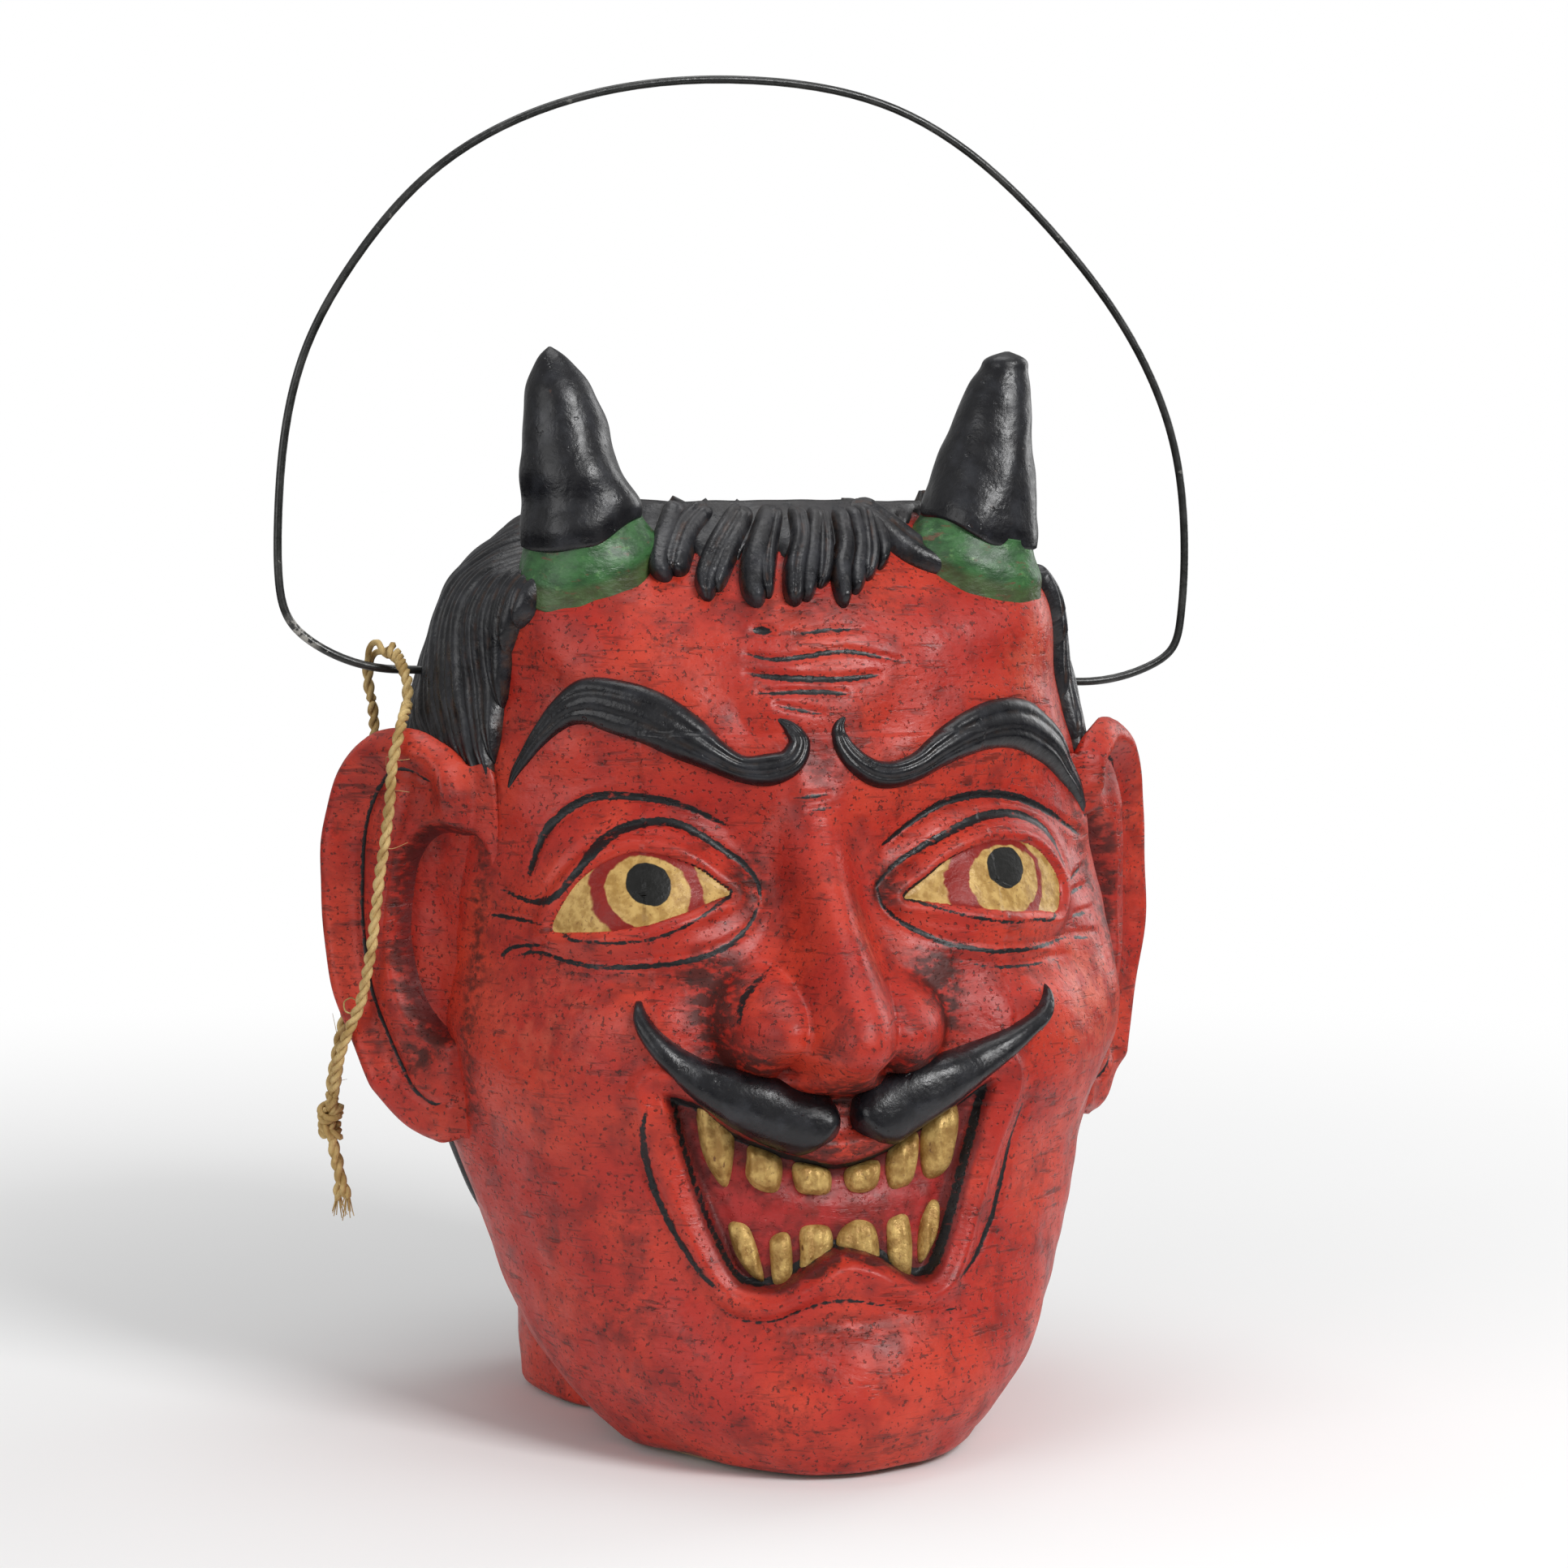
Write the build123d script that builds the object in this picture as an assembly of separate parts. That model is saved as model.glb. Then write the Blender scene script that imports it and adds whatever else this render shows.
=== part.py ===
from build123d import *
import os

# A hollow folk-art devil's head made as a pail: papier-mache shells, open at the crown, with a wire bail.
# Millimetres. The face looks along -Y and +Z is up. The origin is on the ground, on the head's middle plane.
# "right" and "left" are the head's own sides: right is -X and left is +X.

SIDES = {"right": -1, "left": 1}

# ---- Driving dimensions ----
WALL = 6.0               # thickness of the papier-mache shells
BASE_THICK = 6.0         # the pasted card disc that closes the neck
RIM_Z = 230.0            # the flat rim of the open crown
SEAM_Y = 22.0            # the joint between the face shell and the back shell
HAIR_THICK = 4.5         # the layer of modelled hair
FIT_GAP = 0.1            # behind an eye set in its socket
SOCKET_RATIO = 1.008     # the socket's outline against the eye's

EYE_PROUD = 2.0          # how far an eye stands out of the face
EYE_DEPTH = 4.0
MOUTH_DEPTH = 4.2
TOOTH_SUNK = 1.0         # the teeth stand this far below the skin
TOOTH_TAPER = 0.9        # a tooth's lower width against its upper width

EAR_ROOT = (80.0, -28.0)     # where the ear's plane leaves the head (X, Y)
EAR_EDGE = (110.0, 6.0)      # the outermost line of the ear
EAR_THICK = 9.0
EAR_BOWL = ((22, 128, 7.5), (15, 30, 8))    # middle in the ear's own plane and half axes

HORN_BASE_R = 15.3
COLLAR_BASE_R = 17.5
COLLAR_LOW = (50.0, -30.0, 200.0)
COLLAR_TOP = (50.6, -31.0, 223.0)
HORN_TIP = (59.0, -31.0, 269.0)
HORN_SWELLS = [             # share of the horn's length, radius against its base
    (0.0, 1.0), (0.12, 1.0), (0.3, 0.86), (0.36, 0.84), (0.5, 0.76), (0.66, 0.58), (0.84, 0.36), (1.0, 0.14),
]

PIVOT_Y = 7.0
PIVOT_X = 86.0               # where the bail's axis meets the sides of the head
PIVOT_Z = {"right": 188.0, "left": 183.0}
WIRE_R = 1.05
HOLE_R = 2.4                # a rough hole, well clear of the wire
STRAIGHT_END = 5.0          # the wire stays straight this far outside each pivot
HOOK_X = 60.0                # the wire ends turn up inside the pail at this distance from the middle
HOOK_RISE = 9.0
HOOK_BEND = 3.0

TWINE_R = 1.3
TAIL_RATIO = 0.7            # a frayed tail's radius against the twine's
HITCH_CENTRE = (-95.5, PIVOT_Y, 189.7)
HITCH_R = 5.5
HITCH_TURN = 33.0            # degrees that the hitch is turned about the vertical
KNOT = (-109.3, 7.0, 73.0)

# Horizontal sections of the head and face: height, half width, middle Y, reach forward, reach back.
HEAD_LEVELS = [
    (0, 45, -36, 61, 42),
    (11, 56, -33, 69, 50),
    (27, 66, -28, 75, 62),
    (45, 73, -22, 76, 76),
    (72, 81, -15, 78, 92),
    (100, 87, -12, 76, 104),
    (124, 86, -5, 75, 101),
    (152, 86, 0, 70, 100),
    (178, 84, 5, 69, 97),
    (198, 77, 8, 67, 89),
    (214, 66, 10, 59, 77),
    (224, 56, 11, 51, 64),
    (RIM_Z, 50, 12, 46, 56),
]
# The same for the neck, which stands behind the jaw.
NECK_LEVELS = [
    (0, 58, 12, 52, 50),
    (30, 59, 12, 52, 52),
    (70, 62, 10, 50, 60),
    (100, 60, 10, 40, 62),
]

# Nose: middle and half axes of the ellipsoids that make it, with X for the left one of a pair.
NOSE_RIDGE = ((0, -76, 134), (10, 16, 34))
NOSE_TIP = ((0, -88, 109), (14, 20, 13))
NOSE_WING = ((16, -82, 107), (10.5, 13, 10))

# Outlines are (X, Z) points on the head's left, and are mirrored for the right.
EYE_OUTLINE = [(18, 136), (28, 143), (40, 147), (52, 142), (61, 130), (50, 125), (38, 124), (26, 128)]
MOUTH_OUTLINE = [(37, 92), (35, 74), (28, 52), (20, 44), (8, 47), (0, 49)]
BROW_PATH = [(67, 160), (60, 175), (47, 184), (32, 180), (20, 168), (12, 164), (6, 169), (9, 177)]
BROW_RADII = [1.0, 3.2, 5.2, 5.6, 4.8, 4.2, 3.4, 1.8]
MOUSTACHE_PATH = [(48, 112), (41, 99), (29, 89), (15, 83), (5, 80)]
MOUSTACHE_RADII = [1.0, 3.6, 5.8, 6.6, 3.2]
# Teeth in the order from the head's right to its left: middle X, bottom Z, top Z, width.
UPPER_TEETH = [
    (-29.5, 69, 90, 8.4), (-20.2, 68, 80, 8), (-7.8, 67, 76, 9), (5.1, 67, 76, 8.5), (16.2, 67, 80, 8),
    (26, 69, 88, 8.8),
]
LOWER_TEETH = [
    (-24.6, 50, 60.5, 7), (-16.9, 49, 58, 5.6), (-7.8, 50, 60, 7.6), (3.4, 51.5, 61.5, 9.6), (14.5, 49, 61, 6.6),
    (23.2, 50, 63, 5.6),
]

# The ear's edge in its own plane: distance out from its root, and Z.
EAR_OUTLINE = [
    (-10, 158), (5, 168), (18, 174), (31, 171), (40, 161), (45, 145), (45, 125), (39, 100), (27, 82), (12, 73),
    (0, 72), (-10, 82),
]
# Where hair covers the sides and back of the head, seen from the side as (Y, Z).
HAIR_OUTLINE = [
    (-18, 231), (-20, 208), (-28, 192), (-29, 174), (-27, 155), (-14, 166), (0, 178), (12, 168), (19, 140),
    (22, 75), (28, 24), (120, 24), (120, 231),
]
FRINGE_X = (-34.0, 40.0)
FRINGE_Z = (206.0, RIM_Z)

# The hand-bent bail from its right pivot over the top to its left pivot: (X, Z).
BAIL_CURVE = [
    (-112, 194.7), (-118.6, 201), (-121.2, 212), (-121.2, 226), (-113.8, 269), (-101.4, 291.3), (-80.6, 314.6),
    (-36, 335.4), (2, 339), (41, 332.4), (86.2, 298.9), (106, 273.5), (118, 246), (121.2, 222), (120.4, 200),
    (118, 191.5), (111, 186.6),
]
# The twine's two strands, from the hitch to the knot: one in front of the ear and one behind it.
FRONT_STRAND = [
    (-90.5, -4, 180), (-92.2, -12.6, 179), (-94.9, -21, 174.6), (-97, -22, 166), (-98, -20, 152),
    (-99.8, -17.6, 138), (-101.6, -15.8, 121), (-104, -11.8, 106), (-108.2, -6, 93), (-109, 3.5, 80),
]
BACK_STRAND = [
    (-97, 13, 180), (-95.8, 17, 168), (-97.5, 18.5, 148), (-100, 17.5, 124), (-104, 14, 102), (-107.5, 11.5, 88),
    (-109, 9.5, 80),
]
TWINE_TAILS = [
    [(-109.3, 6, 69), (-108, 5, 62), (-105, 6, 54)],
    [(-109.3, 8.4, 69), (-107, 8.5, 60), (-107.6, 9, 53)],
]


# ---- Helpers ----
def oval(z, half_width, mid_y, front, back, inset=0.0):
    """A horizontal section: two half ellipses joined at the widest line."""
    wide = half_width - inset
    rear = EllipticalCenterArc((0, mid_y), wide, back - inset, 0, arc_size=180)
    fore = EllipticalCenterArc((0, mid_y), wide, front - inset, 180, arc_size=180)
    return Pos(0, 0, z) * make_face([rear, fore])


def head_form(inset=0.0):
    """The head without features as one solid, its surface moved inwards by inset, or outwards if negative."""
    face = loft([oval(*level, inset=inset) for level in HEAD_LEVELS])
    neck = loft([oval(*level, inset=inset) for level in NECK_LEVELS])
    return face + neck


def block(x_range, y_range, z_range):
    """A box between the given limits."""
    size = [high - low for low, high in (x_range, y_range, z_range)]
    middle = [(low + high) / 2 for low, high in (x_range, y_range, z_range)]
    return Pos(*middle) * Box(*size)


EVERYWHERE = (-300.0, 400.0)
COLUMN_BACK_Y = -20.0    # columns through the face reach from here
COLUMN_LENGTH = 120.0    # forwards by this much
HAIR_HALF_SPAN = 200.0   # more than half the head's width
IN_FRONT = block(EVERYWHERE, (-300, SEAM_Y), EVERYWHERE)


def mirrored(shape, side):
    """A shape made for the left side, or its mirror image for the right."""
    return shape if side == "left" else mirror(shape, about=Plane.YZ)


def front_column(outline):
    """A solid that runs through the face along Y and has an (X, Z) outline."""
    face = make_face(Spline(*outline, periodic=True))
    return Pos(0, COLUMN_BACK_Y, 0) * extrude(Plane.XZ * face, COLUMN_LENGTH)


def grown(outline, ratio):
    """An outline made larger about the middle of its points."""
    middle_x = sum(x for x, _ in outline) / len(outline)
    middle_z = sum(z for _, z in outline) / len(outline)
    return [(middle_x + (x - middle_x) * ratio, middle_z + (z - middle_z) * ratio) for x, z in outline]


def ellipsoid(centre, radii):
    """An ellipsoid with these half axes."""
    return Pos(*centre) * scale(Sphere(1), by=radii)


def tapered_tube(points, radii):
    """A round rod along a smooth curve through the points, with a radius at each point."""
    path = Spline(*points)
    sections = []
    for point, radius in zip(points, radii):
        along = path.tangent_at(path.param_at_point(point))
        sections.append(Plane(origin=point, z_dir=along) * Circle(radius))
    return loft(sections)


def axis_z(x):
    """The height of the bail's axis at x: the left pivot is a little lower than the right one."""
    slope = (PIVOT_Z["left"] - PIVOT_Z["right"]) / (2 * PIVOT_X)
    return PIVOT_Z["right"] + (x + PIVOT_X) * slope


HEAD = head_form()
CAVITY = head_form(WALL)
HAIR_LAYER = head_form(-HAIR_THICK) - HEAD


def on_face(x, z):
    """The point of the head's front surface at x and z."""
    hits = HEAD.find_intersection_points(Axis((x, -300, z), (0, 1, 0)))
    return Vector(x, min(point.Y for point, _ in hits), z)


# ---- The head's shells ----
def nose():
    """The nose: a ridge, a round tip and two wings."""
    left_wing = ellipsoid(*NOSE_WING)
    return ellipsoid(*NOSE_RIDGE) + ellipsoid(*NOSE_TIP) + left_wing + mirrored(left_wing, "right")


def mouth_column():
    """The outline of the open mouth, run through the face."""
    left = MOUTH_OUTLINE
    right = [(-x, z) for x, z in reversed(left[:-1])]
    return front_column(left + right)


def pivot_bore():
    """The straight hole for the bail's wire through both sides of the head."""
    low = Vector(-2 * PIVOT_X, PIVOT_Y, axis_z(-2 * PIVOT_X))
    high = Vector(2 * PIVOT_X, PIVOT_Y, axis_z(2 * PIVOT_X))
    along = high - low
    whole = Plane(origin=low, z_dir=along) * Circle(HOLE_R)
    return extrude(whole, along.length)


def face_shell():
    """The front half of the head, with eye sockets, a shallow open mouth, a nose and the bail's two holes."""
    skin = ((HEAD + nose()) - CAVITY) & IN_FRONT
    skin -= (HEAD - head_form(MOUTH_DEPTH)) & mouth_column()
    depth = head_form(-EYE_PROUD) - head_form(EYE_DEPTH + FIT_GAP)
    socket = depth & front_column(grown(EYE_OUTLINE, SOCKET_RATIO))
    for side in SIDES:
        skin -= mirrored(socket, side)
    return skin - pivot_bore()


def back_shell():
    """The back half of the head."""
    return (HEAD - CAVITY) - IN_FRONT


def base_disc():
    """The disc that closes the neck, inside the shells."""
    return CAVITY & block(EVERYWHERE, EVERYWHERE, (0, BASE_THICK))


# ---- Features on the face ----
def eye(side):
    """A painted eye, set in its socket and curved like the face."""
    layer = head_form(-EYE_PROUD) - head_form(EYE_DEPTH)
    return mirrored(layer & front_column(EYE_OUTLINE), side)


def relief(path, radii, side):
    """A tapered roll of paste that stands half out of the face."""
    points = [on_face(x, z) for x, z in path]
    return mirrored(tapered_tube(points, radii) - HEAD - nose(), side)


def teeth(row):
    """A row of separate teeth that stand on the floor of the mouth."""
    room = (head_form(TOOTH_SUNK) - head_form(MOUTH_DEPTH)) & mouth_column()
    pieces = []
    for x, low, high, width in row:
        half = width / 2
        corner = [(x - half, high), (x + half, high), (x + half * TOOTH_TAPER, low), (x - half * TOOTH_TAPER, low)]
        outline = make_face(Polyline(*corner, close=True))
        column = Pos(0, COLUMN_BACK_Y, 0) * extrude(Plane.XZ * outline, COLUMN_LENGTH)
        pieces.append(room & column)
    return Compound(children=[solid for tooth in pieces for solid in tooth.solids()])


# ---- Horns, ears and hair ----
def horn_axis_plane(low, high):
    """The plane at low that faces high."""
    return Plane(origin=low, z_dir=Vector(*high) - Vector(*low))


def horn_collar(side):
    """The green collar between a horn and the crown."""
    bottom = horn_axis_plane(COLLAR_LOW, COLLAR_TOP) * Circle(COLLAR_BASE_R)
    top = Plane(origin=COLLAR_TOP, z_dir=(0, 0, 1)) * Circle(HORN_BASE_R)
    return mirrored(loft([bottom, top]) - HEAD, side)


def horn(side):
    """A horn that swells in three soft rings and tapers to a blunt tip."""
    base = Vector(*COLLAR_TOP)
    rise = Vector(*HORN_TIP) - base
    rings = []
    for share, wide in HORN_SWELLS:
        rings.append(Plane(origin=base + rise * share, z_dir=(0, 0, 1)) * Circle(HORN_BASE_R * wide))
    return mirrored(loft(rings) - HEAD, side)


def ear(side):
    """A big flared ear: a plate in its own plane, hollowed in front."""
    out = Vector(EAR_EDGE[0] - EAR_ROOT[0], EAR_EDGE[1] - EAR_ROOT[1], 0).normalized()
    plane = Plane(origin=(*EAR_ROOT, 0), x_dir=out, z_dir=out.cross(Vector(0, 0, 1)))
    face = make_face(Spline(*EAR_OUTLINE, periodic=True))
    plate = extrude(plane * face, EAR_THICK / 2, both=True)
    bowl = plane * ellipsoid(*EAR_BOWL)
    return mirrored(plate - bowl - HEAD - HAIR_LAYER, side)


def hair_region():
    """Where hair covers the sides and back, as a solid right through the head."""
    outline = make_face(Polyline(*HAIR_OUTLINE, close=True))
    return extrude(Plane.YZ * outline, HAIR_HALF_SPAN, both=True)


def without_horns(hair):
    """Hair cut clear of both horns and their collars."""
    for side in SIDES:
        hair = hair - horn_collar(side) - horn(side)
    return hair


def hair_fringe():
    """The short fringe between the horns."""
    return without_horns((HAIR_LAYER & block(FRINGE_X, (-300, 0), FRINGE_Z)) - hair_region())


def hair_side(side):
    """The hair from one horn to the sideburn and over the ear."""
    half = block((0, 300), (-300, SEAM_Y), EVERYWHERE)
    return without_horns(mirrored(HAIR_LAYER & hair_region() & half, side)) - pivot_bore()


def hair_back():
    """The hair on the back of the head and the nape."""
    return (HAIR_LAYER & hair_region()) - IN_FRONT


# ---- Bail and twine ----
def bail_wire():
    """The bail: hooked ends inside the pail, straight through the pivots, and a hand-bent arch above."""
    shape = Plane.XZ.offset(-PIVOT_Y)
    straight_x = PIVOT_X + STRAIGHT_END
    right_end = (-straight_x, axis_z(-straight_x))
    left_end = (straight_x, axis_z(straight_x))
    lines = []
    for sign in (-1, 1):
        inner_z = axis_z(sign * HOOK_X)
        bend_start = (sign * HOOK_X, inner_z + HOOK_BEND)
        bend_end = (sign * (HOOK_X + HOOK_BEND), axis_z(sign * (HOOK_X + HOOK_BEND)))
        lines.append(Line((sign * HOOK_X, inner_z + HOOK_RISE), bend_start))
        lines.append(TangentArc(bend_start, bend_end, tangent=(0, -1)))
        lines.append(Line(bend_end, right_end if sign < 0 else left_end))
    slope = (PIVOT_Z["left"] - PIVOT_Z["right"]) / (2 * PIVOT_X)
    ends = [(-1, -slope), (-1, -slope)]
    lines.append(Spline(right_end, *BAIL_CURVE, left_end, tangents=ends, tangent_scalars=[1, 1]))
    path = Wire([shape * line for line in lines])
    start = Plane(origin=path @ 0, z_dir=path % 0)
    return sweep(start * Circle(WIRE_R), path=path)


def twine_hitch():
    """The loose turn of twine over the bail's right leg."""
    return Pos(*HITCH_CENTRE) * Rot(0, 0, HITCH_TURN) * Rot(0, 90, 0) * Torus(HITCH_R, TWINE_R)


def twine_strands():
    """The two strands of the loop, one in front of the ear and one behind it."""
    strands = [tapered_tube(points, [TWINE_R] * len(points)) for points in (FRONT_STRAND, BACK_STRAND)]
    return Compound(children=strands)


def twine_knot():
    """The knot below the ear, with its two frayed tails."""
    knot = ellipsoid(KNOT, (2.7, 4.2, 4.0))
    for tail in TWINE_TAILS:
        knot += tapered_tube(tail, [TWINE_R * TAIL_RATIO] * len(tail))
    return knot - twine_strands()


# ---- Every node ----
def all_nodes():
    """Each separate piece by name."""
    nodes = {
        "face_shell": face_shell(),
        "back_shell": back_shell(),
        "base_disc": base_disc(),
        "teeth_upper": teeth(UPPER_TEETH),
        "teeth_lower": teeth(LOWER_TEETH),
        "hair_fringe": hair_fringe(),
        "hair_back": hair_back(),
        "bail_wire": bail_wire(),
        "twine_hitch": twine_hitch(),
        "twine_strands": twine_strands(),
        "twine_knot": twine_knot(),
    }
    for side in SIDES:
        nodes["hair_side_" + side] = hair_side(side)
        nodes["ear_" + side] = ear(side)
        nodes["horn_" + side] = horn(side)
        nodes["horn_collar_" + side] = horn_collar(side)
        nodes["eye_" + side] = eye(side)
        nodes["brow_" + side] = relief(BROW_PATH, BROW_RADII, side)
        nodes["moustache_" + side] = relief(MOUSTACHE_PATH, MOUSTACHE_RADII, side)
    return nodes


os.makedirs("parts", exist_ok=True)
for name, shape in all_nodes().items():
    export_step(Compound(children=list(shape.solids())), "parts/" + name + ".step")
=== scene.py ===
"""Folk art devil head pail: the look of a painted papier-mache head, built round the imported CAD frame.

Lengths are millimetres until a mesh is made. -Y is the way the face looks and +X is its own left.
"""
import math

import bmesh
import bpy
import numpy as np
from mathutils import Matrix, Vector


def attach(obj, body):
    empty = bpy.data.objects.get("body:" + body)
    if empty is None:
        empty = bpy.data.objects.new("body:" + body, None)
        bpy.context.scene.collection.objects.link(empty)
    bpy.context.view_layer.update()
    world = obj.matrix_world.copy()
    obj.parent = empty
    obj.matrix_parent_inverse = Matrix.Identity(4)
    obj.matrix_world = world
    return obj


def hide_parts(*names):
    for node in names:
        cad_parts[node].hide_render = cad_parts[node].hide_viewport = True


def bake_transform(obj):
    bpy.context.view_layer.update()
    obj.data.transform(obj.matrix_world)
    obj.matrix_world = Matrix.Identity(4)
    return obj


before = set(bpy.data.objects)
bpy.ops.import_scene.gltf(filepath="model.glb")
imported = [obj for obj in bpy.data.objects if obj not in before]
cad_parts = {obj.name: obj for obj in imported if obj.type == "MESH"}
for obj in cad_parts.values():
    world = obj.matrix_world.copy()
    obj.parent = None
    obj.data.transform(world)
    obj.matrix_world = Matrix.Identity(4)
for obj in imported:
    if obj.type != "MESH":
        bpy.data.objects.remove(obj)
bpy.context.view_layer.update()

MM = 0.001

# ------------------------------------------------------------------ driving sizes
SEAM_Y = 22.0          # the two shells meet in this plane
RIM_Z = 230.0
WALL = 6.0
SIDE = {"right": -1, "left": 1}

# height, half width, middle Y, depth in front, depth behind
HEAD_LEVELS = np.array([
    (0, 45, -36, 61, 42), (11, 56, -33, 69, 50), (27, 66, -28, 75, 62), (45, 73, -22, 76, 76),
    (72, 81, -15, 78, 92), (100, 87, -12, 76, 104), (124, 86, -5, 75, 101), (152, 86, 0, 70, 100),
    (178, 84, 5, 69, 97), (198, 77, 8, 67, 89), (214, 66, 10, 59, 77), (224, 56, 11, 51, 64),
    (RIM_Z, 50, 12, 46, 56),
], float)
NECK_LEVELS = np.array([
    (0, 58, 12, 52, 50), (30, 59, 12, 52, 52), (70, 62, 10, 50, 60), (100, 60, 10, 40, 62),
], float)
NECK_TOP = 100.0
JAW_FILLET = 7.0       # softness of the hollow where the jaw meets the neck

# ------------------------------------------------------------------ the face, as (X, Z) on its front
EYE_OPENING = {
    "right": [(-61.9, 127.1), (-58.5, 134.3), (-54.9, 139.3), (-50.1, 143.4), (-44.3, 146), (-39.1, 145.8),
              (-34, 144.4), (-29.9, 142.6), (-26.6, 140.2), (-23.4, 137.5), (-26.9, 135.4), (-31.8, 132.6),
              (-36.7, 130.2), (-42.1, 128), (-49, 126.6), (-55.7, 126.3)],
    "left": [(19.5, 135.8), (25.6, 139.9), (30.7, 143.3), (37.2, 145.8), (43.8, 146.9), (50.6, 146.2),
             (56.2, 144.1), (60.3, 140), (62.9, 135.5), (62.5, 130.3), (60.2, 127.9), (54.9, 128.5),
             (45, 128.9), (35.5, 130.6), (28.3, 132.6), (22.6, 134.4)],
}
# centre and radii of the red ring, the gold ring and the pupil
IRIS = {
    "right": [((-43.1, 137.0), (13.2, 12.0)), ((-43.2, 137.8), (9.6, 8.4)), ((-43.1, 139.8), (5.0, 4.9))],
    "left": [((44.6, 137.4), (14.6, 11.2)), ((46.7, 138.3), (10.6, 8.2)), ((47.2, 141.3), (5.6, 4.8))],
}
EYEBALL = {"right": (-43.5, 136.5), "left": (43.5, 137.5)}
UPPER_LID = {
    "right": [(-73.3, 136.2), (-67.1, 134), (-63.3, 136.4), (-59.2, 141.5), (-54.4, 147.3), (-48.5, 151.7),
              (-40.4, 154), (-33.9, 153.2), (-27.6, 149.8), (-21.9, 145.9), (-19, 143.8), (-16.2, 139.8),
              (-16, 135.6)],
    "left": [(13.1, 138.4), (18.7, 142.8), (26.3, 147.1), (34.6, 150.8), (41.9, 153.1), (49.4, 153.7),
             (55.7, 152.7), (62.2, 149.5), (66.6, 144.7), (69.1, 139.1), (69.1, 136.1)],
}
LOWER_LID = {
    "right": [(-16, 135.6), (-18.9, 130.9), (-23.4, 126.7), (-29.6, 123.7), (-37.4, 121.8), (-51.7, 120.2),
              (-59.9, 120.6), (-66.7, 122.2), (-71.1, 120.5)],
    "left": [(13.1, 138.4), (13.8, 133.8), (17.4, 130.1), (22.8, 126.8), (29.7, 124.1), (40.9, 122),
             (54.6, 121.5), (66.7, 122.3)],
}
LID_CREASE = {
    "right": [(-67.6, 140.4), (-64.8, 148), (-62.5, 152.1), (-57.8, 156.6), (-52.7, 159.3), (-45.8, 159.8),
              (-37.7, 159), (-30.7, 156.9), (-22.6, 152.9)],
    "left": [(15.8, 147.5), (24.5, 152.9), (32.1, 156.7), (41, 158.4), (50.5, 158.1), (58.9, 155.9),
             (68.4, 151.5), (77.9, 145.6)],
}
# X, Z and half width along the stroke, from the outer tip to the hook between the eyes
BROW = {
    "right": [(-71.3, 160.3, .3), (-68.4, 165.8, 1.1), (-63.7, 172.5, 2), (-57.9, 178.6, 3.3),
              (-51.6, 181.3, 5.6), (-44.8, 180.2, 6.6), (-38, 177.8, 6.6), (-31.1, 173.5, 5.9),
              (-25.3, 169.5, 4.1), (-19.3, 166.4, 3.3), (-13.1, 166, 3.9), (-7.7, 167.8, 3.3),
              (-5.2, 172.1, 3), (-7, 175.8, 2.3), (-10.3, 178.3, 1.2)],
    "left": [(80, 149, .3), (78.5, 153.5, 1.2), (75.4, 158.9, 2.2), (70.9, 164.3, 3.4), (65.3, 169.7, 5.2),
             (57.8, 174, 6.2), (50.7, 175.4, 6.2), (43.7, 174.7, 5.8), (36.4, 172.3, 5), (30.6, 169.4, 4.2),
             (25.6, 166.4, 3.5), (19.5, 164.5, 3.3), (13.7, 164.7, 3.3), (8.8, 167.4, 3), (5.4, 171.7, 2.6),
             (4.8, 175.8, 2.3), (6.7, 178.7, 1.2)],
}
MOUSTACHE = {
    "right": [(-45, 111.4, .6), (-43.9, 105.7, 2), (-39.8, 100.1, 3), (-33.2, 94.5, 4.7), (-24.9, 90.2, 7),
              (-16.5, 87, 8.4), (-9.6, 84.6, 8.4), (-5.2, 82.6, 7.2), (-2.4, 80.6, 5)],
    "left": [(53.2, 111.6, .4), (49.7, 105, 2), (43.5, 101.3, 2.6), (34.9, 97, 4.3), (25.1, 92.7, 6.4),
             (16.5, 89.4, 8), (9.4, 86, 8.6), (5.2, 83.4, 7.4), (2.6, 81.4, 5)],
}
MOUTH = [(-41.5, 91.4), (-41, 86.4), (-39.1, 77.6), (-35.9, 66.7), (-32.7, 57.4), (-28.3, 48.2),
         (-24.3, 45.1), (-17.4, 44.9), (-11.4, 48.3), (-5.3, 52.4), (0, 53.2), (6.1, 51.4), (13, 47),
         (18.5, 45.1), (23.1, 47.4), (27, 55), (32, 69.1), (36, 82.1), (37.8, 92.2), (28.1, 87.3),
         (18.6, 82.2), (11.2, 78.3), (4, 75.9), (-2.8, 75), (-8.8, 76.4), (-18.2, 79.4), (-27.3, 83.7),
         (-34.1, 89.5)]
UPPER_TEETH = [
    [(-34.5, 91.1), (-29.5, 87.3), (-26.5, 81.5), (-28.5, 69.3), (-32, 71.8), (-34.5, 79.1)],
    [(-22.7, 78.9), (-15.6, 75.8), (-16.4, 68.3), (-20.9, 68.2), (-24, 71.2), (-23.8, 75.6)],
    [(-12.1, 74.6), (-3.6, 73.2), (-3.4, 67.6), (-7.8, 67), (-11.8, 68.3)],
    [(1.4, 72.9), (9.8, 74.4), (9.5, 68.8), (5.9, 67), (1.5, 68)],
    [(12.9, 76.7), (20.4, 80.3), (19.2, 69.5), (15.6, 67.4), (12.4, 68.2)],
    [(22.1, 81.8), (30.4, 87), (29.8, 72.9), (25.9, 69), (22.2, 70.7)],
]
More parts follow.
